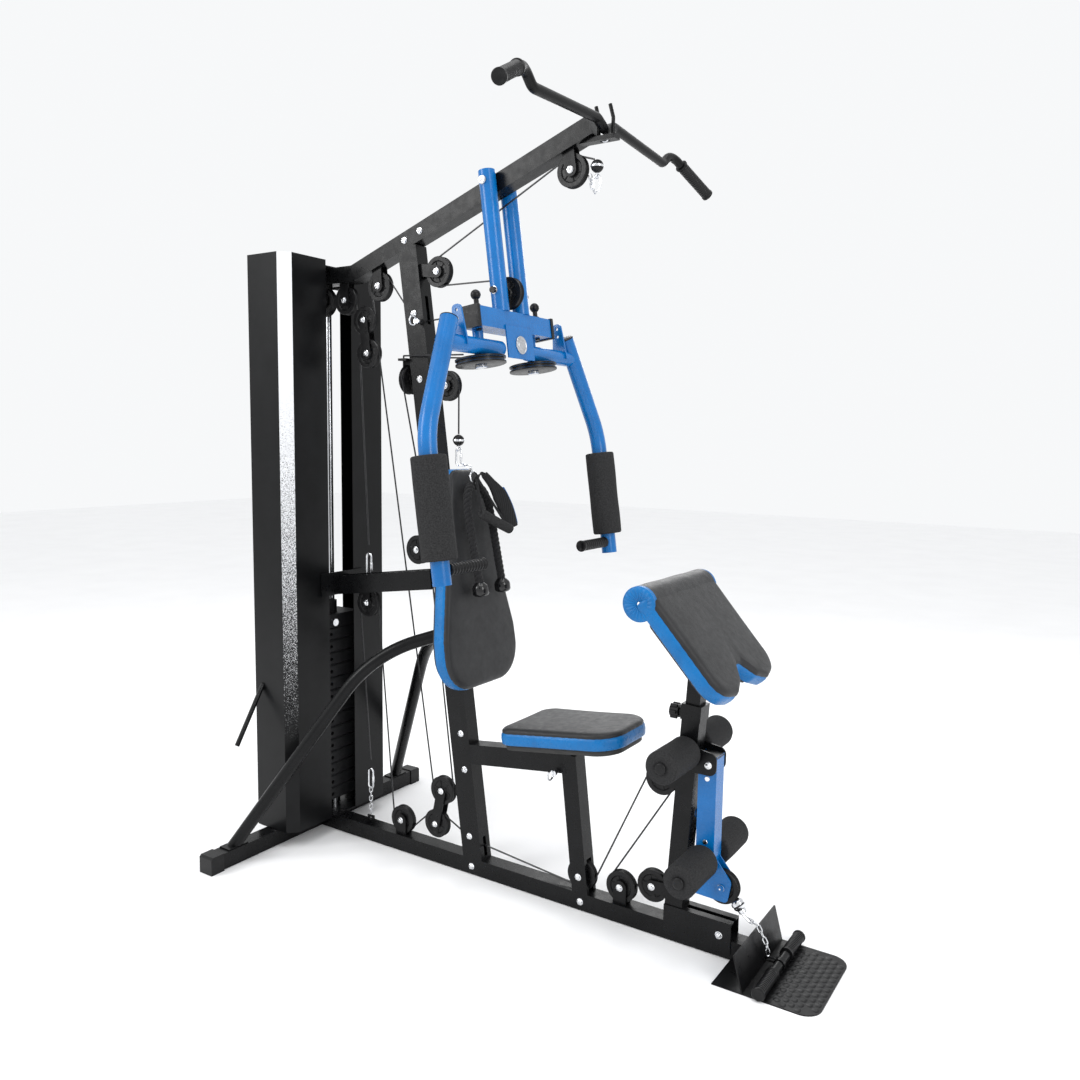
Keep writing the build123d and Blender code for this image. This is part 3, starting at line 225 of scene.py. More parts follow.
class Finish:
    """A new material with a Principled shader and short ways to add noise, mixes and bump."""

    def __init__(self, name, colour, rough, metal=0.0, **more):
        self.material = bpy.data.materials.new(name)
        self.material.use_nodes = True
        self.tree = self.material.node_tree
        self.shader = self.tree.nodes["Principled BSDF"]
        self.shader.inputs["Base Color"].default_value = (*colour, 1)
        self.shader.inputs["Roughness"].default_value = rough
        self.shader.inputs["Metallic"].default_value = metal
        for key, value in more.items():
            self.shader.inputs[key.replace("_", " ")].default_value = value
        self.place = self.tree.nodes.new("ShaderNodeTexCoord").outputs["Object"]

    def node(self, kind, **values):
        made = self.tree.nodes.new(kind)
        for key, value in values.items():
            setattr(made, key, value)
        return made

    def link(self, a, b):
        self.tree.links.new(a, b)

    def stretch(self, scale, turn=(0, 0, 0)):
        """Object coordinates scaled and turned."""
        mapping = self.node("ShaderNodeMapping")
        mapping.inputs["Scale"].default_value = scale
        mapping.inputs["Rotation"].default_value = turn
        self.link(self.place, mapping.inputs["Vector"])
        return mapping.outputs["Vector"]

    def noise(self, scale, detail=3.0, rough=0.55, vector=None):
        made = self.node("ShaderNodeTexNoise")
        made.inputs["Scale"].default_value = scale
        made.inputs["Detail"].default_value = detail
        made.inputs["Roughness"].default_value = rough
        self.link(vector or self.place, made.inputs["Vector"])
        return made.outputs["Fac"]

    def cells(self, scale, vector=None, feature="F1"):
        made = self.node("ShaderNodeTexVoronoi", feature=feature)
        made.inputs["Scale"].default_value = scale
        self.link(vector or self.place, made.inputs["Vector"])
        return made.outputs["Distance"]

    def ramp(self, value, low, high, to_low=0.0, to_high=1.0):
        """The value carried from one range onto another, and held at its ends."""
        made = self.node("ShaderNodeMapRange")
        for key, number in zip(("From Min", "From Max", "To Min", "To Max"), (low, high, to_low, to_high)):
            made.inputs[key].default_value = number
        self.link(value, made.inputs["Value"])
        return made.outputs["Result"]

    def maths(self, kind, a, b=None):
        made = self.node("ShaderNodeMath", operation=kind)
        for socket, value in zip(made.inputs, (a, b)):
            if value is None:
                continue
            if isinstance(value, (int, float)):
                socket.default_value = value
            else:
                self.link(value, socket)
        return made.outputs[0]

    def mix(self, share, a, b):
        """Colour a where share is 0 and b where it is 1."""
        made = self.node("ShaderNodeMix", data_type="RGBA")
        self.link(share, made.inputs["Factor"])
        for socket, colour in ((made.inputs["A"], a), (made.inputs["B"], b)):
            if isinstance(colour, tuple):
                socket.default_value = (*colour, 1)
            else:
                self.link(colour, socket)
        return made.outputs["Result"]

    def colour(self, socket):
        self.link(socket, self.shader.inputs["Base Color"])

    def rough(self, socket):
        self.link(socket, self.shader.inputs["Roughness"])

    def tone(self, scale, detail, dark, light, low=0.3, high=0.7, grain=0.55, vector=None):
        """Colour by noise from dark to light; patches are crisper as low and high draw together."""
        self.colour(self.mix(self.ramp(self.noise(scale, detail, grain, vector), low, high), dark, light))

    def sheen(self, scale, detail, low, high, vector=None):
        """Roughness by noise, from low to high."""
        self.rough(self.ramp(self.noise(scale, detail, vector=vector), 0.3, 0.7, low, high))

    def bump(self, height, distance, strength=1.0):
        made = self.node("ShaderNodeBump")
        made.inputs["Distance"].default_value = distance
        made.inputs["Strength"].default_value = strength
        self.link(height, made.inputs["Height"])
        previous = self.shader.inputs["Normal"].links
        if previous:
            self.link(previous[0].from_socket, made.inputs["Normal"])
        self.link(made.outputs["Normal"], self.shader.inputs["Normal"])


def powder_coat(name, dark, light, rough, gloss=0.03, shine=0.17):
    """Sprayed coat: orange peel of about 1.5 mm, cloudy tone over 80 mm, uneven sheen."""
    f = Finish(name, dark, rough, Coat_Weight=gloss, Coat_Roughness=0.2, Specular_IOR_Level=shine)
    f.tone(13, 4, dark, light)
    f.sheen(42, 5, rough - 0.06, rough + 0.1)
    f.bump(f.noise(700, 2), 0.00025, 0.35)
    return f


# %% Powder coats: satin black and bright blue
BLACK = powder_coat("satin_black_coat", (0.0022, 0.0023, 0.0026), (0.005, 0.0052, 0.0057), 0.27).material
BLUE = powder_coat("bright_blue_coat", (0.0, 0.105, 0.33), (0.0, 0.135, 0.415), 0.24, 0.14, 0.34).material
PLATE = powder_coat("bracket_black_coat", (0.003, 0.003, 0.0035), (0.007, 0.007, 0.0075), 0.32).material

# %% [markdown]
# The tower's covers get a painted reflection: a pale silver streak of painted light down
# their front corner that breaks up into specks as it fades. It is painted on the 45 degree
# face alone, so the mask comes from which way the surface faces, and its strength from the height.

# %% Cover sheet with a painted reflection fading down its corner
f = powder_coat("cover_sheet_painted_reflection_coat", (0.0022, 0.0023, 0.0026), (0.0048, 0.005, 0.0055), 0.3)
facing = f.node("ShaderNodeNewGeometry").outputs["True Normal"]
parts = f.node("ShaderNodeSeparateXYZ")
f.link(facing, parts.inputs[0])
corner = f.maths("MULTIPLY", parts.outputs["X"], f.maths("ABSOLUTE", parts.outputs["Y"]))
corner = f.ramp(corner, 0.40, 0.46)
height = f.node("ShaderNodeSeparateXYZ")
f.link(f.place, height.inputs[0])
fade = f.ramp(height.outputs["Z"], 0.35, 1.75)
specks = f.ramp(f.noise(420, 2, 0.7), 0.36, 0.64)
cover = f.ramp(f.maths("SUBTRACT", f.maths("MULTIPLY", fade, 1.5), specks), 0.0, 0.28)
# Painted reflection: the corner mask times the height fade, broken into specks; there the coat is mixed
# towards pale silver, a little rougher and partly metallic
painted_reflection = f.maths("MULTIPLY", corner, cover)
coat = f.shader.inputs["Base Color"].links[0].from_socket
f.colour(f.mix(painted_reflection, coat, (0.8, 0.81, 0.83)))
f.rough(f.ramp(painted_reflection, 0, 1, 0.3, 0.34))
f.link(f.ramp(painted_reflection, 0, 1, 0, 0.35), f.shader.inputs["Metallic"])
COVER_PAINTED_REFLECTION = f.material

# %% Plated steel, with faint haze and fine polishing lines
f = Finish("bright_plating", (0.72, 0.73, 0.75), 0.16, 1.0)
f.tone(90, 4, (0.62, 0.63, 0.66), (0.82, 0.83, 0.84), 0.35, 0.65)
f.sheen(260, 4, 0.1, 0.26)
f.bump(f.noise(500, 2, vector=f.stretch((1, 1, 12))), 0.00012, 0.2)
CHROME = f.material

# %% Ground guide rod: bright, with a thin film of grease in bands
f = Finish("ground_rod", (0.6, 0.61, 0.63), 0.2, 1.0)
f.sheen(30, 4, 0.12, 0.32, f.stretch((1, 1, 0.2)))
f.bump(f.noise(900, 1, vector=f.stretch((1, 1, 6))), 0.00008, 0.25)
ROD = f.material

# %% Moulded black plastic for wheels, caps and knobs
f = Finish("moulded_black", (0.006, 0.006, 0.007), 0.34, Specular_IOR_Level=0.22)
f.tone(60, 4, (0.004, 0.004, 0.0045), (0.009, 0.009, 0.0095))
f.sheen(120, 3, 0.26, 0.42)
f.bump(f.noise(1500, 2), 0.00012, 0.4)
PLASTIC = f.material

# %% Polished rubber of the rope's ball ends
f = Finish("polished_rubber", (0.004, 0.004, 0.0045), 0.14, Specular_IOR_Level=0.5)
f.tone(40, 3, (0.003, 0.003, 0.0035), (0.007, 0.007, 0.0075))
f.sheen(90, 3, 0.1, 0.22)
f.bump(f.noise(70, 2), 0.0006, 0.2)
GLOSS = f.material

# %% Cable jacket: smooth nylon over a laid rope that just shows through
f = Finish("cable_jacket", (0.01, 0.01, 0.011), 0.3, Coat_Weight=0.15, Specular_IOR_Level=0.3)
f.tone(50, 3, (0.009, 0.009, 0.01), (0.022, 0.022, 0.024))
lay = f.node("ShaderNodeTexWave", wave_type="BANDS", bands_direction="DIAGONAL")
lay.inputs["Scale"].default_value = 130
f.link(f.place, lay.inputs["Vector"])
f.bump(lay.outputs["Fac"], 0.00018, 0.5)
JACKET = f.material

# %% Vinyl: leather-like cells pressed into a soft skin, charcoal and blue


def vinyl(name, dark, light, rough):
    """Grain: small closed cells about 1.3 mm across, with fine noise over them."""
    g = Finish(name, dark, rough, Sheen_Weight=0.05, Specular_IOR_Level=0.3)
    g.tone(24, 5, dark, light)
    g.sheen(60, 4, rough - 0.07, rough + 0.08)
    g.bump(g.cells(760), 0.0004, 0.55)
    g.bump(g.noise(1600, 2), 0.0002, 0.3)
    g.bump(g.noise(17, 3), 0.0022, 0.35)
    return g.material


VINYL = vinyl("charcoal_vinyl", (0.0105, 0.0107, 0.0117), (0.018, 0.0183, 0.0197), 0.44)
BLUE_VINYL = vinyl("blue_vinyl", (0.0, 0.108, 0.315), (0.0, 0.14, 0.4), 0.3)
THREAD = vinyl("stitching_thread", (0.02, 0.02, 0.022), (0.05, 0.05, 0.054), 0.7)

# %% Foam sleeve: matt closed cells with open pores
f = Finish("closed_cell_foam", (0.02, 0.02, 0.0205), 0.86, Specular_IOR_Level=0.12)
f.tone(300, 4, (0.015, 0.015, 0.0155), (0.036, 0.036, 0.037), 0.35, 0.65, 0.7)
f.bump(f.cells(900), 0.0005, 0.6)
f.bump(f.noise(220, 4), 0.0006, 0.4)
FOAM = f.material

# %% Cast weight: rough sand-cast skin under matt paint
f = Finish("cast_weight_coat", (0.008, 0.008, 0.009), 0.55, Specular_IOR_Level=0.25)
f.tone(35, 5, (0.006, 0.006, 0.007), (0.013, 0.013, 0.014))
f.bump(f.noise(320, 5, 0.7), 0.0009, 0.6)
WEIGHT = f.material

# %% Woven webbing, twisted rope and turned board


def woven(name, dark, light, scale):
    """Weave: bands along X crossed with bands along Z, with fibre noise."""
    g = Finish(name, dark, 0.82, Sheen_Weight=0.08, Specular_IOR_Level=0.25)
    waves = []
    for direction, stretch in (("X", (1, 0.3, 1)), ("Z", (0.3, 1, 1))):
        wave = g.node("ShaderNodeTexWave", wave_type="BANDS", bands_direction=direction)
        wave.inputs["Scale"].default_value = scale
        wave.inputs["Distortion"].default_value = 0.4
        g.link(g.stretch(stretch), wave.inputs["Vector"])
        waves.append(wave.outputs["Fac"])
    weave = g.maths("MULTIPLY", *waves)
    g.colour(g.mix(g.ramp(weave, 0.1, 0.8), dark, light))
    g.bump(weave, 0.0006, 0.7)
    g.bump(g.noise(900, 3), 0.0002, 0.4)
    return g.material


WEBBING = woven("woven_webbing", (0.005, 0.005, 0.0055), (0.018, 0.018, 0.02), 160)
ROPE = woven("twisted_rope", (0.003, 0.003, 0.0035), (0.035, 0.035, 0.038), 220)
BLUE_BINDING = woven("blue_binding", (0.0, 0.08, 0.28), (0.0, 0.15, 0.45), 200)

f = Finish("backing_board", (0.012, 0.012, 0.012), 0.6)
f.tone(20, 5, (0.008, 0.008, 0.008), (0.024, 0.023, 0.022), vector=f.stretch((1, 8, 8)))
f.bump(f.noise(200, 4, vector=f.stretch((1, 6, 6))), 0.0005, 0.5)
BOARD = f.material

f = Finish("badge_face", (0.45, 0.46, 0.48), 0.3, 0.9)
f.tone(300, 3, (0.38, 0.39, 0.41), (0.6, 0.61, 0.63))
BADGE = f.material
print("finishes", len(bpy.data.materials))

# %% [markdown]
# The tubes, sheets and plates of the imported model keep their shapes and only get
# their finish.

# %% Finishes for the parts that stay
KEPT = {
    BLACK: "rear_stabiliser base_rail main_upright top_boom side_braces rear_strut seat_frame front_post "
           "preacher_post tower_plates",
    PLATE: "frame_brackets foot_plate",
    COVER_PAINTED_REFLECTION: "right_guard left_guard",
    WEIGHT: "weight_plates weight_carriage",
    PLASTIC: "frame_end_caps press_trim right_pop_pin left_pop_pin post_knob",
    CHROME: "selector_pin seat_pull_pin upright_pull_pin",
    BLUE: "press_frame left_arm right_arm leg_lever",
    ROD: "guide_rods",
}
for finish, names in KEPT.items():
    for name in names.split():
        mesh = NODES[name].data
        mesh.materials.clear()
        mesh.materials.append(finish)

# %% [markdown]
# Pulleys are turned shapes: a profile of distance along the axle and radius, spun
# once round. The real ones have a raised hub, a dished web with six ribs and a
# grooved rim. Each has a name for its place, because the bolts and cables use it too.

# %% Pulley wheels
TIP, FRONT, PRESSING, MIDDLE, CHEST = (532, 2048), (75, 1822), (328, 1742), (-159, 1797), (109, 1488)
RAIL_REAR, SEAT_FOOT, RAIL_FRONT = (-70, 99), (604, 99), (731, 99)
POST_TOP, LEVER_END, LEVER_GUIDE = (845, 436), (1026, 183), (828, 130)
TAIL_REAR, TAIL_FRONT, FLOATING = (-400, 1764), (-302, 1764), (-4, 987)
TOP_BLOCK, UNDER_BLOCK, STACK_BLOCK = (-222, 1697), (-208, 1594), (-216, 797)
RAIL_BLOCK, RAIL_BLOCK_FOOT = (96, 234), (72, 121)
SLOT_TOP, SLOT_FOOT, SLOT_CHEST = (-3, 1703), (217, 122), (20, 1508)
SIDEWAYS = (-38.0, 1509)

WHEELS = {
    "boom_tip_pulley": TIP, "upright_front_pulley": FRONT, "press_pulley": PRESSING,
    "boom_mid_pulley": MIDDLE, "chest_pulley": CHEST, "rail_rear_pulley": RAIL_REAR,
    "seat_post_pulley": SEAT_FOOT, "rail_front_pulley": RAIL_FRONT, "post_upper_pulley": POST_TOP,
    "lever_pulley": LEVER_END,
}
FIXED_WHEELS = [TAIL_REAR, TAIL_FRONT, FLOATING, TOP_BLOCK, UNDER_BLOCK, STACK_BLOCK, RAIL_BLOCK,
                RAIL_BLOCK_FOOT, LEVER_GUIDE]
SMALL_WHEELS = [SLOT_TOP, SLOT_FOOT, SLOT_CHEST]


def wheel(middle, axis=(0, 1, 0), rim=45.0, groove=37.0, half=10.0, bore=5.2):
    """Profile spun about its axle: hub, dished web, rim with rounded lips, V groove; closed at the bore."""
    lip = 1.2
    web = min(14.0, groove - 4)
    outer = [(-half - 1, bore), (-half - 1, 11.3), (-half - 0.4, 12), (-half + 3, web + 0.4),
             (-half + 3.4, groove - 7.4), (-half + 0.3, groove - 4.3), (-half, rim - lip), (-half + lip, rim),
             (-half + 2.4, rim - 0.3), (-3.4, groove + 1.2), (-1.8, groove)]
    back = [(-a, r) for a, r in reversed(outer)]
    profile = outer + back + [outer[0]]
    d = np.asarray(axis, float)
    parts = [turned(middle, d, profile, 56)]
    if rim > 40:
        angle = np.radians(np.arange(6) * 60 + 15)
        _, e, g = axes_about(d)
        for side in (-1, 1):
            for a in angle:
                spoke = np.cos(a) * e + np.sin(a) * g
                start = np.asarray(middle, float) + spoke * 11.5 + d * side * (half - 3)
                parts.append(swept(start + spoke * np.linspace(0, 19, 4)[:, None], 1.9, 8, side=d))
    return parts


for name, (x, z) in WHEELS.items():
    make(name + "_wheel", wheel((x, 0, z)), PLASTIC, name, [name])
parts = [s for x, z in FIXED_WHEELS for s in wheel((x, 0, z))]
parts += [s for x, z in SMALL_WHEELS for s in wheel((x, 0, z), rim=28, groove=20, half=6)]
parts += wheel((SIDEWAYS[0], 0, SIDEWAYS[1]), axis=(1, 0, 0))
make("guide_wheels", parts, PLASTIC, "frame", ["guide_pulleys"])
print("wheels", len(WHEELS) + len(FIXED_WHEELS) + len(SMALL_WHEELS) + 1)

# %% [markdown]
# Bolts are what catches the light on a black machine. Each has a washer and a domed
# cap nut at both ends; the nut's hexagon is the same turned surface with six sides.

# %% Bolts


def nut(x, y, z, outward, radius=8.6):
    """Washer, hexagon and domed crown, stacked along Y away from the tube."""
    d = (0, outward, 0)
    rim = radius + 1.4
    washer = turned((x, y, z), d, [(0, 0), (0, rim), (1.4, rim), (1.6, radius + 1), (1.6, 0)], 28)
    hexagon = turned((x, y, z), d, [(1.6, 0), (1.6, radius), (5.2, radius), (5.8, radius - 0.9), (5.8, 0)], 6)
    t = np.linspace(0, np.pi / 2, 6)
    crown = np.stack([5.0 + 3.2 * np.sin(t), 6.4 * np.cos(t)], 1)
    return [washer, hexagon, turned((x, y, z), d, np.concatenate([[(5.0, 0)], crown]), 24)]


def upright_x(z):
    """Middle of the leaning upright at a height: it falls back by the tangent of its lean."""
    return UPRIGHT_FOOT[0] - (z - UPRIGHT_FOOT[1]) * math.tan(math.radians(LEAN))


def boom_z(x):
    """Height of the rising boom above a place on the floor."""
    return BOOM_BEND[1] + (x - BOOM_BEND[0]) * math.tan(math.radians(BOOM_RISE))


STRAP_HALF, BLOCK_HALF, TUBE_HALF = 15.2, 14.6, 25.0
BOLTS = [(x, z, STRAP_HALF) for x, z in (TAIL_REAR, TAIL_FRONT, MIDDLE, TIP, FRONT, CHEST, FLOATING,
                                         RAIL_REAR, RAIL_FRONT, LEVER_GUIDE, POST_TOP)]
BOLTS += [(x, z, BLOCK_HALF) for x, z in (TOP_BLOCK, UNDER_BLOCK, STACK_BLOCK, RAIL_BLOCK, RAIL_BLOCK_FOOT)]
BOLTS += [(x, z, TUBE_HALF) for x, z in (SLOT_TOP, SLOT_FOOT, SEAT_FOOT, SLOT_CHEST, (226, 28), (612, 28),
                                         (-40, boom_z(-40)), (20, boom_z(20)))]
BOLTS += [(upright_x(z) + 8, z, half) for z, half in ((329, 25), (439, 25), (783, 30.3), (903, 30.3))]
BOLTS += [(1030, 62, 28.5), (987, 510, 33.5)]
parts = [s for x, z, half in BOLTS for side in (-1, 1) for s in nut(x, side * half, z, side)]
parts += [s for side in (-1, 1) for s in nut(PRESS_PIVOT[0], side * 75.5, PRESS_PIVOT[1], side, 10.5)]
parts += [turned((x, -half, z), (0, 1, 0), [(0, 0), (0, 4.9), (2 * half, 4.9), (2 * half, 0)], 20)
          for x, z, half in BOLTS]
parts.append(turned((PRESS_PIVOT[0], -76, PRESS_PIVOT[1]), (0, 1, 0),
                    [(0, 0), (0, 5.9), (152, 5.9), (152, 0)], 20))
parts.append(turned((SIDEWAYS[0] - 22, 0, SIDEWAYS[1]), (1, 0, 0),
                    [(0, 0), (0, 9), (6, 9), (6, 4.9), (44, 4.9), (44, 0)], 20))
make("frame_bolt_set", parts, CHROME, "frame", ["frame_bolts"])
print("bolts", len(BOLTS) + 1)

# %% [markdown]
# Steel cable runs in straight lines between wheels and in arcs round them. The path
# is found as the machine's rigger would: common tangents between circles, then the
# arc of each groove between them.

# %% Cables
LINE, SMALL_LINE = 40.0, 23.0
LEFT, RIGHT = 1, -1
CABLE_R = 2.5
STACK_X, STACK_TOP = -440, 1760
SPLIT, UPPER_RUN, LOWER_RUN = 292.0, 1781.7, 1700


def tangents(stops):
    """Path in the middle plane: free ends are (x, z), and wheels are (x, z, radius, side).

    The side is the one that the cable keeps to as it travels. Between two circles the
    line turns by arcsin(difference of signed radii / distance); arcs are cut every 7 degrees.
    """
    full = [s if len(s) == 4 else (s[0], s[1], 0.0, 1) for s in stops]
    path, entry = [], None
    for a, b in zip(full, full[1:]):
        dx, dz = b[0] - a[0], b[1] - a[1]
        heading = math.atan2(dz, dx) + math.asin((b[3] * b[2] - a[3] * a[2]) / math.hypot(dx, dz))
        nx, nz = -math.sin(heading), math.cos(heading)
        leave = (a[0] + a[3] * a[2] * nx, a[1] + a[3] * a[2] * nz)
        touch = (b[0] + b[3] * b[2] * nx, b[1] + b[3] * b[2] * nz)
        if entry:
            first = math.atan2(entry[1] - a[1], entry[0] - a[0])
            last = math.atan2(leave[1] - a[1], leave[0] - a[0])
            turn = (first - last) % (2 * math.pi) if a[3] > 0 else -((last - first) % (2 * math.pi))
            t = first - np.linspace(0, turn, max(3, int(abs(turn) / 0.12)))
            path.append(np.stack([a[0] + a[2] * np.cos(t), 0 * t, a[1] + a[2] * np.sin(t)], 1))
        else:
            path.append(np.array([[leave[0], 0, leave[1]]]))
        entry = touch
    path.append(np.array([[entry[0], 0, entry[1]]]))
    return np.concatenate(path)


def cable(path, side=(0, 1, 0)):
    return swept(path, CABLE_R, 10, side=side)


front = tangents([(597, 2069), (*TIP, LINE, RIGHT), (*FRONT, LINE, RIGHT), (SPLIT, UPPER_RUN)])
rear = tangents([(SPLIT, LOWER_RUN), (*SLOT_TOP, SMALL_LINE, LEFT), (*MIDDLE, LINE, RIGHT),
                 (*TOP_BLOCK, LINE, LEFT), (*TAIL_FRONT, LINE, RIGHT), (*TAIL_REAR, LINE, RIGHT),
                 (STACK_X, STACK_TOP)])
chest = tangents([(149, 1345), (*CHEST, LINE, RIGHT), (*SLOT_CHEST, SMALL_LINE, RIGHT), (190, 230)])
make("upper_cable_runs", [cable(front[:-1]), cable(rear[1:]), cable(chest)], JACKET, "frame",
     ["upper_cables"])
main = tangents([(-216, 985), (*UNDER_BLOCK, LINE, LEFT), (*RAIL_BLOCK, LINE, RIGHT),
                 (*FLOATING, LINE, RIGHT), (16, 1130)])
over_crown = np.radians(np.linspace(180, 0, 25))
crown = np.stack([np.full(25, SIDEWAYS[0]), LINE * np.cos(over_crown),
                  SIDEWAYS[1] + LINE * np.sin(over_crown)], 1)
low = tangents([(-214, 268), (*STACK_BLOCK, LINE, LEFT), (*RAIL_REAR, LINE, RIGHT),
                (*RAIL_BLOCK_FOOT, LINE, LEFT), (*SLOT_FOOT, SMALL_LINE, RIGHT), (*SEAT_FOOT, LINE, RIGHT),
                (*POST_TOP, LINE, LEFT), (*RAIL_FRONT, LINE, RIGHT), (*LEVER_GUIDE, LINE, LEFT), (970, 152)])
make("lower_cable_runs",
     [cable(main), cable([(16, 0, 1130), (SIDEWAYS[0], -LINE, SIDEWAYS[1])]), cable(crown, (1, 0, 0)),
      cable([(SIDEWAYS[0], LINE, SIDEWAYS[1]), (SIDEWAYS[0], LINE, 1412)], (1, 0, 0)), cable(low[:-1])],
     JACKET, "frame", ["lower_cables"])

# %% [markdown]
# Some stretches of cable run from the frame to something that moves. Each is a piece
# of its own: those that span a joint are left on no body, and the loop round the press
# wheel and the row cable's end ride on their moving parts.

# %% Cables that cross a joint
arms = [cable(denser([(-38, side * 32, 1571.2), (-38, side * 32, 1579), (214, side * 64, 1571)], 8),
              (0.1, 1, 0.2)) for side in (-1, 1)]
arm_feed = make("arm_feed_cables", arms, JACKET, None)
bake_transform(arm_feed)
press_feed = make("press_feed_cables", [cable(denser(front[-2:], 8)), cable(denser(rear[:2], 8))], JACKET,
                  None)
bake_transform(press_feed)
lever_feed = make("lever_feed_cable", [cable(denser(low[-2:], 6))], JACKET, None)
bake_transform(lever_feed)
drop = make("stack_lift_cable", [cable([(STACK_X, 0, z) for z in np.linspace(838, STACK_TOP, 60)])],
            JACKET, None, ["lift_cable"])
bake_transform(drop)
loop = tangents([(SPLIT, UPPER_RUN), (*PRESSING, LINE, LEFT), (SPLIT, LOWER_RUN)])
make("press_wheel_cable", [cable(loop)], JACKET, "press", ["press_cable_loop"])
end = tangents([(970, 152), (*LEVER_END, LINE, RIGHT), (1062, 152)])
aim = np.array([1086 - 1064, 0, 125 - 151.0])
ball = turned((1060, 0, 155.7), aim, [(0, 0), (0, 9), (3, 14), (8, 17), (14, 17.3), (14.5, 15.5), (18, 15.5),
                                      (18.5, 17), (24, 15), (28, 11), (36, 10.6), (38, 8), (38, 0)], 36,
              finish=[0, 1, 1, 1, 0, 0, 0, 1, 1, 1, 1, 1])
make("row_cable_stopper", [cable(end), ball], [JACKET, CHROME], "lever", ["row_cable_end"])

# %% [markdown]
# Chain is one link repeated, each turned a quarter from the last. A link is a circle
# carried round an oval, so a chain of a few dozen stays light.

# %% Chains, hooks and rubber stoppers


def oval(middle, along, across, length, width, wire, around=8, steps=20, squeeze=1.0):
    """Closed wire loop: a stadium of half circles and straights, with a round section."""
    d, _, _ = axes_about(along)
    e = np.asarray(across, float) - d * np.dot(across, d)
    e /= np.linalg.norm(e)
    t = np.linspace(0, 2 * np.pi, steps, endpoint=False)
    r = (width - wire) / 2
    straight = (length - wire) / 2 - r
    path = (np.asarray(middle, float) + np.outer(r * np.cos(t) + straight * np.sign(np.cos(t)), d)
            + np.outer(r * np.sin(t), e))
    return swept(path, wire / 2, around, closed=True, side=np.cross(d, e), squeeze=squeeze)


def chain(points, size=22.0, width=13.0, wire=3.6):
    """Links along a line of points, at the pitch at which real links touch."""
    pitch = size - 2 * wire - 0.8
    links, turn = [], 0
    for a, b in zip(np.asarray(points, float), np.asarray(points[1:], float)):
        run = b - a
        count = max(1, round(np.linalg.norm(run) / pitch))
        _, e, g = axes_about(run)
        for i in range(count):
            angle = np.radians(90 * (turn % 2) + 45)
            links.append(oval(a + run * (i + 0.5) / count, run, np.cos(angle) * e + np.sin(angle) * g,
                              size, width, wire))
            turn += 1
    return links


def snap_hook(x, z, tall, y=0.0, wide=26.0):
    """Snap hook: an oval of 6 mm wire, with the gate's barrel on one side."""
    hook = oval((x, y, z), (0, 0, 1), (1, 0, 0), tall, wide, 5.8, 12, 32)
    gate = tall * 0.3
    barrel = turned((x + wide / 2 - 2.9, y, z - tall * 0.18), (0, 0, 1),
                    [(0, 0), (0, 3.6), (1, 4), (gate, 4), (gate + 1, 3.6), (gate + 1, 0)], 16)
    return [hook, barrel]


def ball_stop(x, z, radius=17.0):
    """Rubber ball with a bright waist band and an eye under it."""
    t = np.linspace(-np.pi / 2, np.pi / 2, 19)
    ball = turned((x, 0, z), (0, 0, 1), np.stack([radius * np.sin(t), radius * np.cos(t)], 1), 40)
    band = turned((x, 0, z - 3), (0, 0, 1), [(0, 15), (0, 17.3), (1, 17.9), (5, 17.9), (6, 17.3), (6, 15)],
                  40, finish=1)
    ring = np.linspace(0, 2 * np.pi, 24, endpoint=False)
    eye = np.stack([0 * ring + x, 8 * np.cos(ring), z - radius - 7 + 8 * np.sin(ring)], 1)
    return [ball, band, swept(eye, 2.2, 10, closed=True, side=(1, 0, 0), finish=1)]


def marked(surfaces, finish):
    """The same surfaces with another of the piece's finishes."""
    return [(points, quads, np.full(len(quads), finish)) for points, quads, _ in surfaces]


metal = (chain([(603, 0, 1980), (592, 0, 1996), (585, 0, 2030)], 20, 12, 3)
         + chain([(-214, 0, 172), (-214, 0, 84)])
         + snap_hook(606, 2006.5, 45) + snap_hook(-214, 204, 72) + snap_hook(-216, 918, 84))
make("anchor_chains", ball_stop(606, 2050) + ball_stop(149, 1327) + marked(metal, 1), [PLASTIC, CHROME],
     "frame", ["chains_and_stoppers"])
ring = np.linspace(0, 2 * np.pi, 36, endpoint=False)
tilt = math.radians(80)
plane_x = np.array([math.cos(tilt), 0, -math.sin(tilt)])
d_ring = (np.array([207, 0, 1218.0])
          + 18 * (np.cos(ring)[:, None] * plane_x + np.sin(ring)[:, None] * (0, 1, 0)))
normal = np.cross(plane_x, (0, 1, 0))
hung_metal = (snap_hook(149, 1278, 56, wide=24)
              + chain([(152, 0, 1257), (169, 0, 1255), (193, 0, 1249), (203, 0, 1234)])
              + [swept(d_ring, 2.6, 12, closed=True, side=normal)])
make("hung_chain", hung_metal, CHROME, "hung_set", ["accessory_chain"])

# %% [markdown]
# Cushions. Each is cut from an outline: the side band rises from the board, meets the
# top panel at a sewn seam that pulls in, and the panel crowns over its foam. Distance
# in from the outline and height give every ring, so the seam runs evenly all round.
# Small puckers beside the thread and slow swells in the foam keep it from looking
# machined.

# %% Cushions


def rounded_outline(points, radii, count):
    """Closed outline with rounded corners, resampled to points an equal way apart."""
    points = np.asarray(points, float)
    pieces = []
    for i, radius in enumerate(radii):
        trio = np.stack([points[i - 1], points[i], points[(i + 1) % len(points)]])
        trio = np.concatenate([trio, np.zeros((3, 1))], 1)
        pieces.append(bent(trio, [radius], 12)[1:-1, :2])
    path = np.concatenate(pieces)
    path = np.concatenate([path, path[:1]])
    run = np.concatenate([[0], np.cumsum(np.linalg.norm(np.diff(path, axis=0), axis=1))])
    at = np.linspace(0, run[-1], count, endpoint=False)
    return np.stack([np.interp(at, run, path[:, k]) for k in range(2)], 1), run[-1]


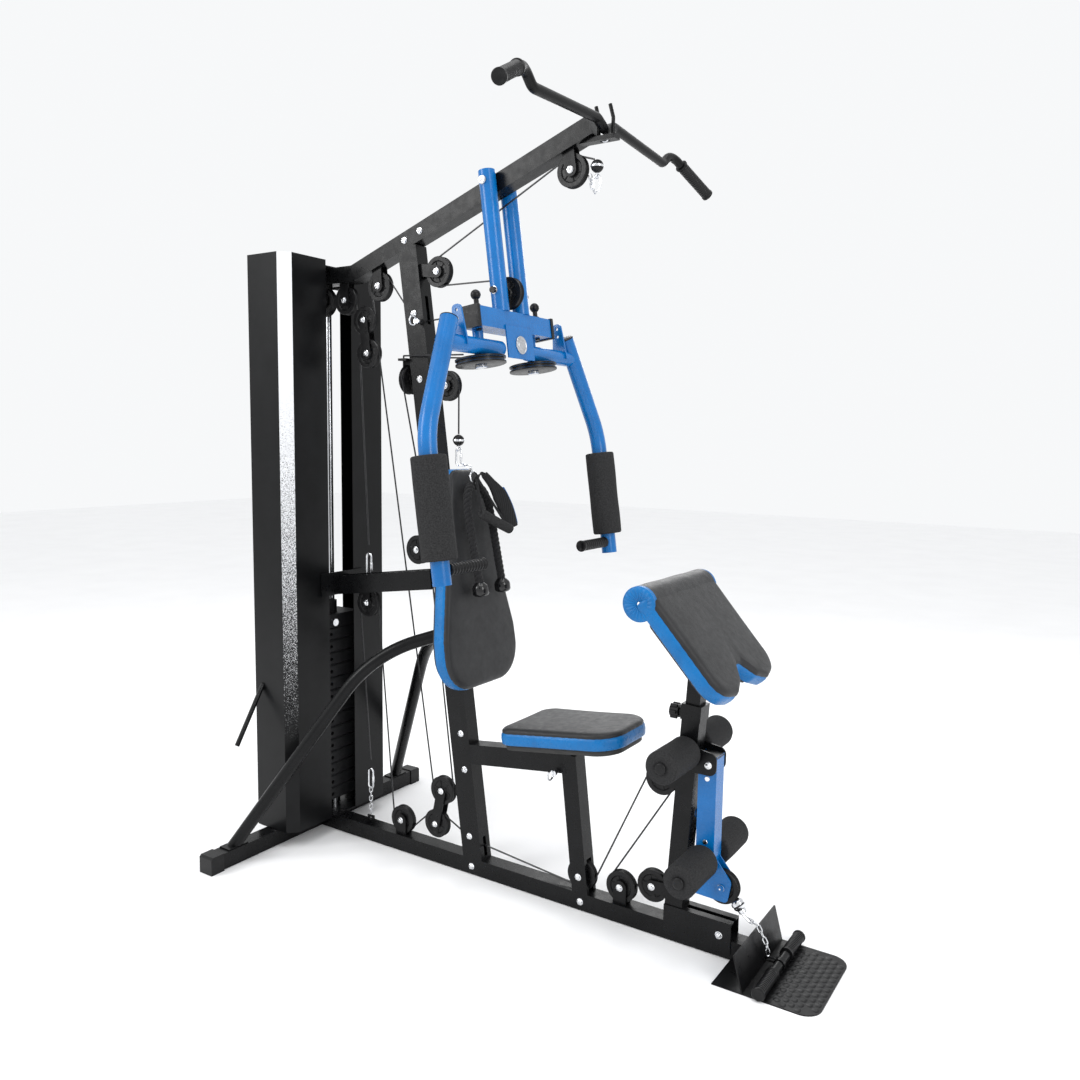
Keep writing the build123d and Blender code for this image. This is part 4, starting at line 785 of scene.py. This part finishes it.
def inset(outline, distance):
    """Outline moved in towards its middle by a distance along each point's own radius."""
    middle = (outline.max(0) + outline.min(0)) / 2
    away = outline - middle
    far = np.linalg.norm(away, axis=1)[:, None]
    distance = np.broadcast_to(distance, (len(outline),))[:, None]
    return middle + away * np.maximum(far - distance, 0) / far


def smooth_bumps(x, y, seed, scale):
    """Slow swells: a sum of six sine waves with seeded directions and phases."""
    draw = np.random.default_rng(seed)
    total = 0
    for _ in range(6):
        angle, phase, stretch = draw.uniform(0, 2 * np.pi), draw.uniform(0, 2 * np.pi), draw.uniform(0.6, 1.7)
        total = total + np.sin((x * np.cos(angle) + y * np.sin(angle)) * stretch / scale + phase)
    return total / 6


PANEL_RINGS = 6


def cushion(tilt, points, radii, thick, crown, top=0.0, count=240, swap=None, band=0.7, seed=1):
    """Rings from the base up the side band, in over the seam, and across the crowned panel to the middle."""
    outline, length = rounded_outline(points, radii, count)
    phase = np.linspace(0, 2 * np.pi, count, endpoint=False)
    waves = max(8, int(length / 24))
    pucker = np.sin(phase * waves + 2 * np.sin(phase * 3)) * 0.5 + 0.5
    seam = -thick * (1 - band)
    rings = [(14.0, -thick, 0.0), (3.0, -thick, 0.0), (0.6, -thick + 2, 0), (-0.4, -thick + 8, 0.2),
             (-1.5, (seam - thick) / 2, 0.5), (-0.8, seam - 7, 0.7), (0.8, seam - 2.4, 1.0),
             (3.4, seam - 0.2, 1.0), (3.6, seam + 0.6, 1.0), (2.2, seam + 3.2, 0.9), (3.2, seam + 6.5, 0.7),
             (6.5, -3.6, 0.5), (12, -0.6, 0.35), (20, 0.9, 0.2)]
    surface = []
    for distance, z, share in rings:
        ring = inset(outline, distance + 0.7 * share * pucker)
        surface.append(np.column_stack([ring, np.full(count, z) + 0.5 * share * pucker]))
    rim = inset(outline, 20)
    middle = (outline.max(0) + outline.min(0)) / 2
    for s in np.linspace(1, 0, 22)[1:]:
        ring = middle + (rim - middle) * s
        height = 0.9 + crown * (1 - s ** 2.4)
        height = height + 1.3 * (1 - s ** 6) * smooth_bumps(ring[:, 0], ring[:, 1], seed, 42.0)
        surface.append(np.column_stack([ring, np.broadcast_to(height, (count,))]))
    surface = np.array(surface)
    closing = np.column_stack([np.tile(middle, (count, 1)), np.full(count, -thick)])
    surface = np.concatenate([closing[None], surface])
    surface[..., 2] += top
    finish = np.zeros(len(surface) - 1, int)
    finish[:len(rings) - PANEL_RINGS] = 1
    if swap is not None:
        surface = surface @ swap
    stitches = inset(outline, 5.0)
    return grid(tilt(surface), finish=finish), stitches, seam + 4.6 + top, length


def stitch_line(tilt, outline, z, pitch, length, swap=None, long=4.2, thick=0.55):
    """Thread: a short six-sided bead for each stitch, laid along the outline."""
    count = int(length / pitch)
    at = np.linspace(0, len(outline), count, endpoint=False)
    closed = np.concatenate([outline, outline[:1]])
    flat = np.stack([np.interp(at, np.arange(len(closed)), closed[:, k]) for k in range(2)], 1)
    ahead = np.roll(flat, -1, 0) - flat
    ahead /= np.linalg.norm(ahead, axis=1)[:, None]
    profile = np.array([(-0.5, 0.0), (-0.42, 0.8), (0.0, 1.0), (0.42, 0.8), (0.5, 0.0)])
    angle = np.linspace(0, 2 * np.pi, 6, endpoint=False)
    flat_zero = np.zeros(count)
    across = np.column_stack([-ahead[:, 1], ahead[:, 0], flat_zero])[:, None, None]
    forward = np.column_stack([ahead, flat_zero])[:, None, None]
    body = (np.column_stack([flat, np.full(count, z)])[:, None, None]
            + (profile[:, 0] * long)[None, :, None, None] * forward
            + (profile[:, 1] * thick)[None, :, None, None]
            * (np.cos(angle)[None, None, :, None] * across
               + np.sin(angle)[None, None, :, None] * np.array([0, 0, 1.0])))
    if swap is not None:
        body = body @ swap
    return [grid(tilt(bead)) for bead in body]


def board(tilt, points, radii, high, thick, swap=None, count=160):
    """Flat board with a small rounded edge."""
    outline, _ = rounded_outline(points, radii, count)
    rings = [(60, high - thick), (1.5, high - thick), (0, high - thick + 1.5), (0, high - 1.5), (1.5, high),
             (60, high)]
    surface = np.array([np.column_stack([inset(outline, d), np.full(count, z)]) for d, z in rings])
    middle = (outline.max(0) + outline.min(0)) / 2
    lids = [np.column_stack([np.tile(middle, (count, 1)), np.full(count, z)]) for z in (high - thick, high)]
    surface = np.concatenate([lids[0][None], surface, lids[1][None]])
    if swap is not None:
        surface = surface @ swap
    return grid(tilt(surface), finish=2)


# %% Seat cushion
SEAT_OUT = [(1, -135), (371, -119), (371, 119), (1, 135)]
panel, seam, seam_z, length = cushion(SEAT, SEAT_OUT, [40, 75, 75, 40], 46, 3.5, seed=3)
parts = [panel, board(SEAT, [(12, -124), (360, -108), (360, 108), (12, 124)], [30, 65, 65, 30], -46.3, 16)]
parts += marked(stitch_line(SEAT, seam, seam_z, 6.5, length), 3)
seat = make("seat_cushion", parts, [VINYL, BLUE_VINYL, BOARD, THREAD], "frame", ["seat_pad"], 50)

# %% Back cushion: the same, stood on end, so its outline's axes become across and up
STAND = np.array([[0.0, 1, 0], [0, 0, 1], [1, 0, 0]])
BACK_OUT = [(-175, 537), (175, 537), (171, 690), (65, 1187), (-65, 1187), (-171, 690)]
panel, seam, seam_z, length = cushion(UPRIGHT, BACK_OUT, [100, 100, 60, 38, 38, 60], 50, 4.0, 113.0, 300,
                                      STAND, seed=7)
BACK_IN = [(-164, 550), (164, 550), (160, 690), (56, 1176), (-56, 1176), (-160, 690)]
parts = [panel, board(UPRIGHT, BACK_IN, [90, 90, 50, 30, 30, 50], 62.7, 12, STAND)]
parts += marked(stitch_line(UPRIGHT, seam, seam_z, 6.5, length, STAND), 3)
back = make("back_cushion", parts, [VINYL, BLUE_VINYL, BOARD, THREAD], "frame", ["backrest_pad"], 50)

# %% [markdown]
# The arm-curl cushion has a fat roll along its top edge with gathered vinyl discs at
# its ends, and a notch at its foot between two lobes. The roll is a turned shape; the
# gathers are a ripple round each disc that dies out towards its button.

# %% Arm-curl cushion
CURL_OUT = [(-4, -195), (292, -189), (311, -110), (291, -63), (245, -21), (245, 21), (291, 63), (311, 110),
            (292, 189), (-4, 195)]
panel, seam, seam_z, length = cushion(CURL, CURL_OUT, [10, 60, 20, 18, 16, 16, 18, 20, 60, 10], 50, 2.5,
                                      count=320, seed=11)
inner = [(52, -180), (282, -172), (286, -66), (236, -24), (236, 24), (286, 66), (282, 172), (52, 180)]
parts = [panel, board(CURL, inner, [10, 40, 14, 14, 14, 14, 40, 10], -60.3 + 10, 10)]
parts += marked(stitch_line(CURL, seam, seam_z, 6.5, length), 3)
angle = np.linspace(0, 2 * np.pi, 120, endpoint=False)
ROLL_Z, ROLL_R = -41.5, 45.0
for side in (-1, 1):
    reach = np.array([(0.0, 187.0), (5, 189.0), (10, 190.6), (18, 193.0), (27, 195), (35, 195.6), (40, 195),
                      (43.5, 192.5)])
    radius = reach[:, 0][:, None] + 0 * angle
    depth = np.interp(reach[:, 0], [0, 5, 24, 40, 44], [0, 0.6, 1.4, 0.6, 0])
    gather = np.sin(angle * 20)[None] * depth[:, None]
    disc = np.stack([radius * np.cos(angle), side * (reach[:, 1][:, None] + gather),
                     ROLL_Z + radius * np.sin(angle)], -1)
    y = np.array([191.5, 188, 184, 180])
    rim = ROLL_R + np.array([-0.3, -1.4, -0.4, 0.0])
    lip = np.stack([rim[:, None] * np.cos(angle), side * np.repeat(y[:, None], len(angle), 1),
                    ROLL_Z + rim[:, None] * np.sin(angle)], -1)
    parts.append(grid(CURL(np.concatenate([disc, lip])), finish=1))
    button = CURL((0, side * 188, ROLL_Z))
    parts += marked([turned(button, (0, side, 0), [(0, 0), (0, 7), (2.5, 6.4), (4.2, 4), (4.8, 0)], 24)], 4)
along_roll = np.linspace(-181, 181, 60)
swell = ROLL_R + 0.5 * np.sin(along_roll / 23) + 0.3
roll = np.stack([swell[:, None] * np.cos(angle), along_roll[:, None] + 0 * angle,
                 ROLL_Z + swell[:, None] * np.sin(angle)], -1)
parts.append(grid(CURL(roll), finish=0))
pad = make("arm_curl_cushion", parts, [VINYL, BLUE_VINYL, BOARD, THREAD, CHROME], "curl_support",
           ["preacher_pad"], 50)

# %% [markdown]
# Foam sleeves are turned shapes with soft shoulders and slow dents where legs and
# arms have pressed them. Grips are turned too, with a ring for each rib.

# %% Foam sleeves, grips and rollers


def foam(start, end, radius, bore, seed=0, around=64):
    """Sleeve from start to end: rounded shoulders, an open bore, and dents up to 1.2 mm deep."""
    start, end = np.asarray(start, float), np.asarray(end, float)
    length = np.linalg.norm(end - start)
    t = np.linspace(0, np.pi / 2, 6)
    soft = 6.0
    head = np.column_stack([soft * (1 - np.sin(t)), radius - soft * (1 - np.cos(t))])[::-1]
    body = np.column_stack([np.linspace(soft, length - soft, 24)[1:-1], np.full(22, radius)])
    tail = np.column_stack([length - head[::-1, 0], head[::-1, 1]])
    outer = np.concatenate([[(1.2, bore), (0.0, bore + 2)], head, body, tail,
                            [(length, bore + 2), (length - 1.2, bore)], [(1.2, bore)]])
    points, quads, marks = turned((0, 0, 0), (0, 0, 1), outer, around)
    shape = points.reshape(len(outer), around, 3)
    angle = np.arctan2(shape[..., 1], shape[..., 0])
    dent = 1.2 * smooth_bumps(shape[..., 2], angle * 40, seed + 50, 26.0) - 0.6
    share = np.clip((np.hypot(shape[..., 0], shape[..., 1]) - bore - 3) / (radius - bore), 0, 1)
    shape[..., :2] *= (1 + dent * share / radius)[..., None]
    d, e, g = axes_about(end - start)
    place = start + shape[..., :1] * e + shape[..., 1:2] * g + shape[..., 2:] * d
    return grid(place)


def ribbed(start, end, radius, pitch=9.0, deep=1.6, flange=5.0, around=36):
    """Rubber grip: ribs along its length, a wide flange at the start and a closed, domed end."""
    start, end = np.asarray(start, float), np.asarray(end, float)
    length = np.linalg.norm(end - start)
    at = np.linspace(8, length - 8, int((length - 16) / pitch) * 6)
    ribs = radius - deep / 2 - deep / 2 * np.cos(at * 2 * np.pi / pitch)
    wide = radius + flange
    profile = [(0, 0), (0, wide - 1), (1, wide), (5, wide), (6.5, radius + 0.4)] + list(zip(at, ribs))
    profile += [(length - 6, radius + 1.2), (length - 1.4, radius + 1.2), (length, radius - 0.6),
                (length, radius - 4), (length - 1.0, radius - 5.5), (length - 1.0, 0)]
    return turned(start, end - start, profile, around)


def post_x(z):
    """Middle of the front post at a height: it leans forward a little."""
    return POST_FOOT[0] + (z - POST_FOOT[1]) * math.tan(math.radians(POST_LEAN))


for name, x, z in (("knee_rollers", post_x(534), 534), ("ankle_rollers", 982, 255)):
    parts, seed = [], int(z)
    for side in (-1, 1):
        parts.append(foam((x, side * 38, z), (x, side * 186, z), 44, 9, seed + side))
        cap = [(0, 0), (0, 14.5), (1.5, 15.5), (5, 15.5), (7.4, 13), (8, 8), (7.2, 0)]
        parts += marked([turned((x, side * 185.8, z), (0, side, 0), cap, 32)], 1)
    parts += marked([turned((x, -190, z), (0, 1, 0), [(0, 0), (0, 8.9), (380, 8.9), (380, 0)], 32)], 2)
    rollers = make(name + "_foam", parts, [FOAM, PLASTIC, CHROME], name, [name], 50)

for word, side in (("right", -1), ("left", 1)):
    sleeve = foam(PRESS((-2, side * 429, -1018)), PRESS((-2, side * 429, -757)), 46, 24.4, side + 9)
    grip = ribbed(PRESS((-2, side * 401, -1044)), PRESS((-2, side * 253, -1044)), 16.4, 12, 2.4, 0.5)
    pads = make(word + "_arm_foam", [sleeve] + marked([grip], 1), [FOAM, PLASTIC], word + "_arm",
                [word + "_arm_pads"], 50)

# %% Pulldown bar: bent steel with two ribbed hand grips and a hanging eye
half = [(628, 44, 2156), (628, 345, 2138), (630, 384, 2170), (640, 414, 2160), (682, 552, 2086)]
steel = [(x, -y, z) for x, y, z in reversed(half)] + [(628, 0, 2137)] + half
path = denser(bent(steel, [30, 40, 30, 26, 16, 26, 30, 40, 30], 10), 9)
eye = np.stack([628 + 9 * np.cos(ring), 0 * ring, 2117.5 + 9 * np.sin(ring)], 1)
parts = [swept(path, 13, 24, side=(1, 0.0, 0.001)), *marked([swept(eye, 2.4, 12, closed=True)], 2)]
for side in (-1, 1):
    grip = ribbed((645.5, side * 432, 2150.6), (682.4, side * 553.4, 2085.3), 16.6, 7, 1.2, 2.2)
    parts += marked([grip], 1)
make("pulldown_bar", parts, [BLACK, PLASTIC, CHROME], "lat_bar", ["lat_bar"])

# %% Row bar with its chain, lying on the foot plate
x, z = 1184.0, 20.9
parts = [turned((x, -60, z), (0, 1, 0), [(0, 0), (0, 12), (54, 12), (54, 14.6), (66, 14.6), (66, 12),
                                         (120, 12), (120, 0)], 32)]
for side in (-1, 1):
    parts += marked([ribbed((x, side * 52, z), (x, side * 160, z), 16, 7, 1.2, 1.4)], 1)
parts += marked([oval((x - 23, 0, z + 4), (1, 0, 0), (0, 0, 1), 32, 15, 5)], 0)
parts += marked(chain([(1096, 0, 114), (1124, 0, 104), (1148, 0, 62), (1153, 0, 34)]), 2)
parts += marked([oval((1092, 0, 118), (20, 0, -17), (0, 1, 0), 38, 17, 4.4, 10, 28)], 2)
make("row_bar_set", parts, [BLACK, PLASTIC, CHROME], "row_bar", ["row_bar"])

# %% [markdown]
# The foot plate is stamped with raised scales for grip. Each scale is a low dome cut
# by an arc, set in rows that step by half a pitch; a hundred of them need few faces.

# %% Tread on the foot plate
u = np.linspace(0, np.pi / 2, 4)
v = np.linspace(0, 2 * np.pi, 14, endpoint=False)
scale_shape = np.stack([np.cos(u)[:, None] * np.cos(v) * 9.5 - 3.0 * np.cos(u)[:, None] * np.cos(v) ** 2,
                        np.cos(u)[:, None] * np.sin(v) * 11.0, np.sin(u)[:, None] * 1.3 + 0 * v], -1)
columns, rows_ = np.meshgrid(np.arange(9), np.arange(12), indexing="ij")
places = np.stack([1168 + columns * 18.0, -137 + rows_ * 24.0 + 12.0 * (columns % 2), 0 * rows_ + 2.7], -1)
places = places.reshape(-1, 3)
inside = (np.abs(places[:, 1]) < 139) & ((places[:, 0] < 1285) | (np.abs(places[:, 1]) < 116))
treads = [grid(scale_shape + p) for p in places[inside]]
make("foot_plate_tread", treads, PLATE, "frame")
print("treads", len(treads))

# %% [markdown]
# The badge on the press frame is a plain round medal with a raised rim and a ring of
# dots: no lettering.

# %% Badge and press bolt heads
centre = PRESS((21.1, 0, -452))
out = PRESS.axes[0]
parts = [turned(centre, out, [(0, 0), (0, 25.4), (3.0, 25.4), (4.0, 24.4), (4.0, 22), (3.1, 21), (3.1, 15),
                              (3.8, 14), (3.8, 0)], 64)]
for a in np.linspace(0, 2 * np.pi, 24, endpoint=False):
    spot = centre + out * 3.1 + 18 * (math.cos(a) * PRESS.axes[1] + math.sin(a) * PRESS.axes[2])
    parts.append(turned(spot, out, [(0, 0), (0, 1.1), (0.6, 0.8), (0.8, 0)], 10))
make("round_badge", parts, BADGE, "press")
parts = [s for side in (-1, 1) for s in nut(PRESSING[0], side * 73.2, PRESSING[1], side, 9.5)]
parts += [turned(PRESS((-30, side * 130, -516.4)), PRESS.axes[2],
                 [(0, 0), (0, 14.6), (1.6, 16.4), (6.6, 16.4), (6.6, 0)], 36) for side in (-1, 1)]
make("press_bolt_heads", parts, CHROME, "press")
parts = [s for side in (-1, 1) for s in nut(LEVER_END[0], side * 15.4, LEVER_END[1], side, 8)]
parts += [turned((982, side * 25, z), (0, side, 0), [(0, 0), (0, 7), (1.5, 6), (2, 0)], 24)
          for side in (-1, 1) for z in (300, 470)]
make("lever_bolt_heads", parts, CHROME, "lever")

# %% Black caps on the blue tubes, and the grooved cams under the arms
CAP = [(-0.2, 0), (-0.2, 24.3), (2.4, 24.4), (4, 22), (4, 0)]
CAM = [(0, 9.4), (0, 69.6), (0.6, 70.5), (4.6, 70.5), (5.4, 69.6), (6.4, 64.4), (12.2, 64.4), (13.2, 69.6),
       (14, 70.5), (18, 70.5), (18.6, 69.6), (18.6, 15.3), (16.6, 14.6), (1.4, 14.6), (0, 9.4)]
for word, side in (("right", -1), ("left", 1)):
    tube_up = PRESS((0, -side * 141, 296)) - PRESS.origin
    cap = turned(PRESS((-2, side * 288, -404)), tube_up, CAP, 40)
    cam = turned(PRESS((-30, side * 130, -508.3)), PRESS.axes[2], CAM, 72)
    make(word + "_arm_cap_and_cam", [cap, cam], PLASTIC, word + "_arm")
SQUARE = np.array([(956.6, -25.4), (1007.4, -25.4), (1007.4, 25.4), (956.6, 25.4)])
cap = marked([board(LEVEL, SQUARE, [3, 3, 3, 3], 531.4, 7.0, count=64)], 0)
bumper = turned((957, 0, 363), (-1, 0, 0), [(0, 0), (0, 11.4), (9.5, 11.4), (12.2, 9.0), (12.2, 0)], 36)
make("lever_cap_and_bumper", cap + [bumper], PLASTIC, "lever")

# %% [markdown]
# The doubled rope hangs through the ring with a ball end on each leg. A rope is three
# strands twisted round each other: each strand is a tube on a helix about the rope's
# line, and the line itself is a smooth curve through its hanging points.

# %% Rope


def smooth_line(points):
    """Points along a NURBS curve (order 3) through control points in datum millimetres."""
    curve = bpy.data.curves.new("line", "CURVE")
    curve.dimensions = "3D"
    spline = curve.splines.new("NURBS")
    spline.points.add(len(points) - 1)
    weighted = np.column_stack([np.asarray(points, float), np.ones(len(points))])
    spline.points.foreach_set("co", weighted.ravel())
    spline.order_u = 3
    spline.use_endpoint_u = True
    spline.resolution_u = 16
    holder = bpy.data.objects.new("line", curve)
    bpy.context.scene.collection.objects.link(holder)
    bpy.context.view_layer.update()
    mesh = bpy.data.meshes.new_from_object(holder)
    line = np.empty(len(mesh.vertices) * 3)
    mesh.vertices.foreach_get("co", line)
    bpy.data.objects.remove(holder)
    return line.reshape(-1, 3)


def strands(line, radius, twist, count=3, around=10):
    """Each strand: a tube of 0.54 radius on a helix of 0.46 radius, turning once every twist millimetres."""
    line = denser(line, 2.2)
    run = np.concatenate([[0], np.cumsum(np.linalg.norm(np.diff(line, axis=0), axis=1))])
    ahead = np.gradient(line, axis=0)
    ahead /= np.linalg.norm(ahead, axis=1)[:, None]
    e = np.cross(ahead, (1.0, 0.12, 0.0))
    e /= np.linalg.norm(e, axis=1)[:, None]
    g = np.cross(ahead, e)
    out = []
    for k in range(count):
        a = run / twist * 2 * np.pi + k * 2 * np.pi / count
        helix = line + 0.46 * radius * (np.cos(a)[:, None] * e + np.sin(a)[:, None] * g)
        out.append(swept(helix, 0.54 * radius, around, side=(1.0, 0.12, 0.0)))
    return out


ROPE_CUP = [(-6, 0), (-6, 12.8), (-4, 15), (3, 21), (8, 23.4), (12, 24), (26, 24), (30, 22.6), (34, 18),
            (36.5, 10), (37, 0)]
for word, leg in (("near", [(206, -2, 1197), (207, -24, 1192), (214, -42, 1165), (222, -50, 1120),
                            (240, -47, 1020), (262, -40, 905)]),
                  ("far", [(206, 2, 1197), (207, 26, 1192), (214, 50, 1165), (222, 62, 1120),
                           (240, 66, 1020), (262, 70, 905)])):
    line, foot = smooth_line(leg), leg[-1]
    rope = make(word + "_rope_leg", strands(line, 12.6, 42), ROPE, "hung_set",
                ["triceps_rope"] if word == "near" else [])
    cup = turned((foot[0], foot[1], foot[2] + 3), (0.12, 0, -1), ROPE_CUP, 40)
    end_piece = make(word + "_rope_end", [cup], GLOSS, "hung_set")

# %% [markdown]
# The ankle cuff is padded webbing folded over the ring, and the handle is a foam grip
# on a triangle of narrow webbing.

# %% Ankle cuff and handle


def strap(path, wide, thick, across, bulge=0.0):
    """Flat webbing: a rounded oblong carried along the path, wide along the across vector."""
    path = np.asarray(path, float)
    ahead = np.gradient(path, axis=0)
    ahead /= np.linalg.norm(ahead, axis=1)[:, None]
    w = np.asarray(across, float) - ahead * (ahead @ np.asarray(across, float))[:, None]
    w /= np.linalg.norm(w, axis=1)[:, None]
    n = np.cross(ahead, w)
    t = np.linspace(0, 2 * np.pi, 28, endpoint=False)
    sx = np.sign(np.cos(t)) * np.abs(np.cos(t)) ** 0.35
    sy = np.sign(np.sin(t)) * np.abs(np.sin(t)) ** 0.8
    swell = thick / 2 * (1 + bulge * np.sin(np.linspace(0, np.pi, len(path))))[:, None, None]
    wides = np.broadcast_to(np.asarray(wide, float), (len(path),))[:, None, None] / 2
    points = path[:, None] + wides * sx[None, :, None] * w[:, None] + swell * sy[None, :, None] * n[:, None]
    points = np.concatenate([np.repeat(path[:1, None], 28, 1), points, np.repeat(path[-1:, None], 28, 1)])
    return grid(points)


cuff_line = smooth_line([(226, 26, 1226), (240, 52, 1196), (254, 80, 1150), (262, 104, 1100),
                         (264, 114, 1064)])
wide = np.interp(np.linspace(0, 1, len(cuff_line)), [0, 0.15, 0.4, 1], [24, 30, 54, 54])
cuff = strap(cuff_line, wide, 9, (0.2, 0.9, 0.4), 0.3)
lead = strap(smooth_line([(205, 6, 1202), (212, 10, 1222), (224, 22, 1232), (236, 44, 1204)]), 18, 3.5,
             (0.2, 0.9, 0.4))
edge = strap(cuff_line[20:] + np.array([1.3, 25.5, 11.5]), 5, 10.5, (0.2, 0.9, 0.4))
piece = make("ankle_cuff", [cuff, lead] + marked([edge], 1), [WEBBING, BLUE_BINDING], "hung_set",
             ["ankle_strap"], 50)
grip = foam((262, -40, 1118), (286, 80, 1062), 15, 5, 77, 40)
core = turned((262, -40, 1118), (24, 120, -56), [(2, 0), (2, 8), (132, 8), (132, 0)], 20)
bands = [strap(denser([(222, -8, 1214), (246, -24, 1160), (263, -36, 1121)], 8), 9, 3, (0, 1, 0.3)),
         strap(denser([(222, 0, 1214), (256, 42, 1130), (283.5, 72, 1068)], 8), 9, 3, (0, 1, 0.6))]
piece = make("strap_handle", [grip] + marked([core] + bands, 1), [FOAM, WEBBING], "hung_set",
             ["stirrup_handle"], 50)

# %% [markdown]
# A plain pale floor and soft studio light. The black machine is drawn by what it
# reflects, so large soft panels stand to both sides and overhead.

# %% Floor, light and camera
floor_mesh = bpy.data.meshes.new("floor")
FLOOR_HALF = 14
corners = [(x * FLOOR_HALF, y * FLOOR_HALF, 0) for x, y in ((-1, -1), (1, -1), (1, 1), (-1, 1))]
floor_mesh.from_pydata(corners, [], [(0, 1, 2, 3)])
floor = bpy.data.objects.new("floor", floor_mesh)
bpy.context.scene.collection.objects.link(floor)
pale = Finish("pale_floor", (0.94, 0.94, 0.945), 0.75, Specular_IOR_Level=0.2)
pale.tone(2.5, 3, (0.93, 0.93, 0.935), (0.96, 0.96, 0.965))
floor_mesh.materials.append(pale.material)

world = bpy.data.worlds.new("studio")
world.use_nodes = True
world.node_tree.nodes["Background"].inputs["Color"].default_value = (0.98, 0.99, 1.0, 1)
world.node_tree.nodes["Background"].inputs["Strength"].default_value = 0.95
bpy.context.scene.world = world
bpy.context.scene.view_settings.view_transform = "Standard"


def panel_light(name, place, aim_at, size, power):
    """Rectangular soft light that faces a point."""
    light = bpy.data.lights.new(name, "AREA")
    light.shape = "RECTANGLE"
    light.size, light.size_y = size
    light.energy = power
    holder = bpy.data.objects.new(name, light)
    bpy.context.scene.collection.objects.link(holder)
    aim = Vector(aim_at) - Vector(place)
    holder.matrix_world = Matrix.Translation(place) @ aim.to_track_quat("-Z", "Y").to_matrix().to_4x4()
    return holder


panel_light("key_panel", (-2.6, -3.4, 3.2), (0, 0, 1.0), (1.6, 2.4), 90)
panel_light("side_panel", (3.6, -1.4, 2.6), (0.1, 0, 1.0), (1.2, 2.6), 60)
panel_light("top_panel", (0.3, -0.4, 4.4), (0, 0, 1.0), (2.6, 2.0), 50)
panel_light("back_panel", (-1.2, 3.4, 2.8), (0, 0, 1.2), (2.0, 2.0), 35)

CAMERA_AT = (1.45603, -2.20135, 1.33991)
SENSOR, LENS_RATIO = 36.0, 927.228 / 1080
azimuth, pitch, tip = np.radians([32.88475, 6.33706, 0.79419])
back_axis = np.array([math.sin(azimuth) * math.cos(pitch), -math.cos(azimuth) * math.cos(pitch),
                      math.sin(pitch)])
right = np.cross(-back_axis, (0, 0, 1))
right /= np.linalg.norm(right)
above = np.cross(right, -back_axis)
right_turned = right * math.cos(tip) + above * math.sin(tip)
above_turned = -right * math.sin(tip) + above * math.cos(tip)
camera_data = bpy.data.cameras.new("camera")
camera_data.sensor_width = SENSOR
camera_data.lens = SENSOR * LENS_RATIO
camera = bpy.data.objects.new("camera", camera_data)
bpy.context.scene.collection.objects.link(camera)
camera.matrix_world = Matrix([[*map(float, column)] for column in zip(right_turned, above_turned, back_axis,
                                                                      CAMERA_AT)] + [[0, 0, 0, 1]])
bpy.context.scene.camera = camera

# %% Update the scene, and the end
bpy.context.view_layer.update()
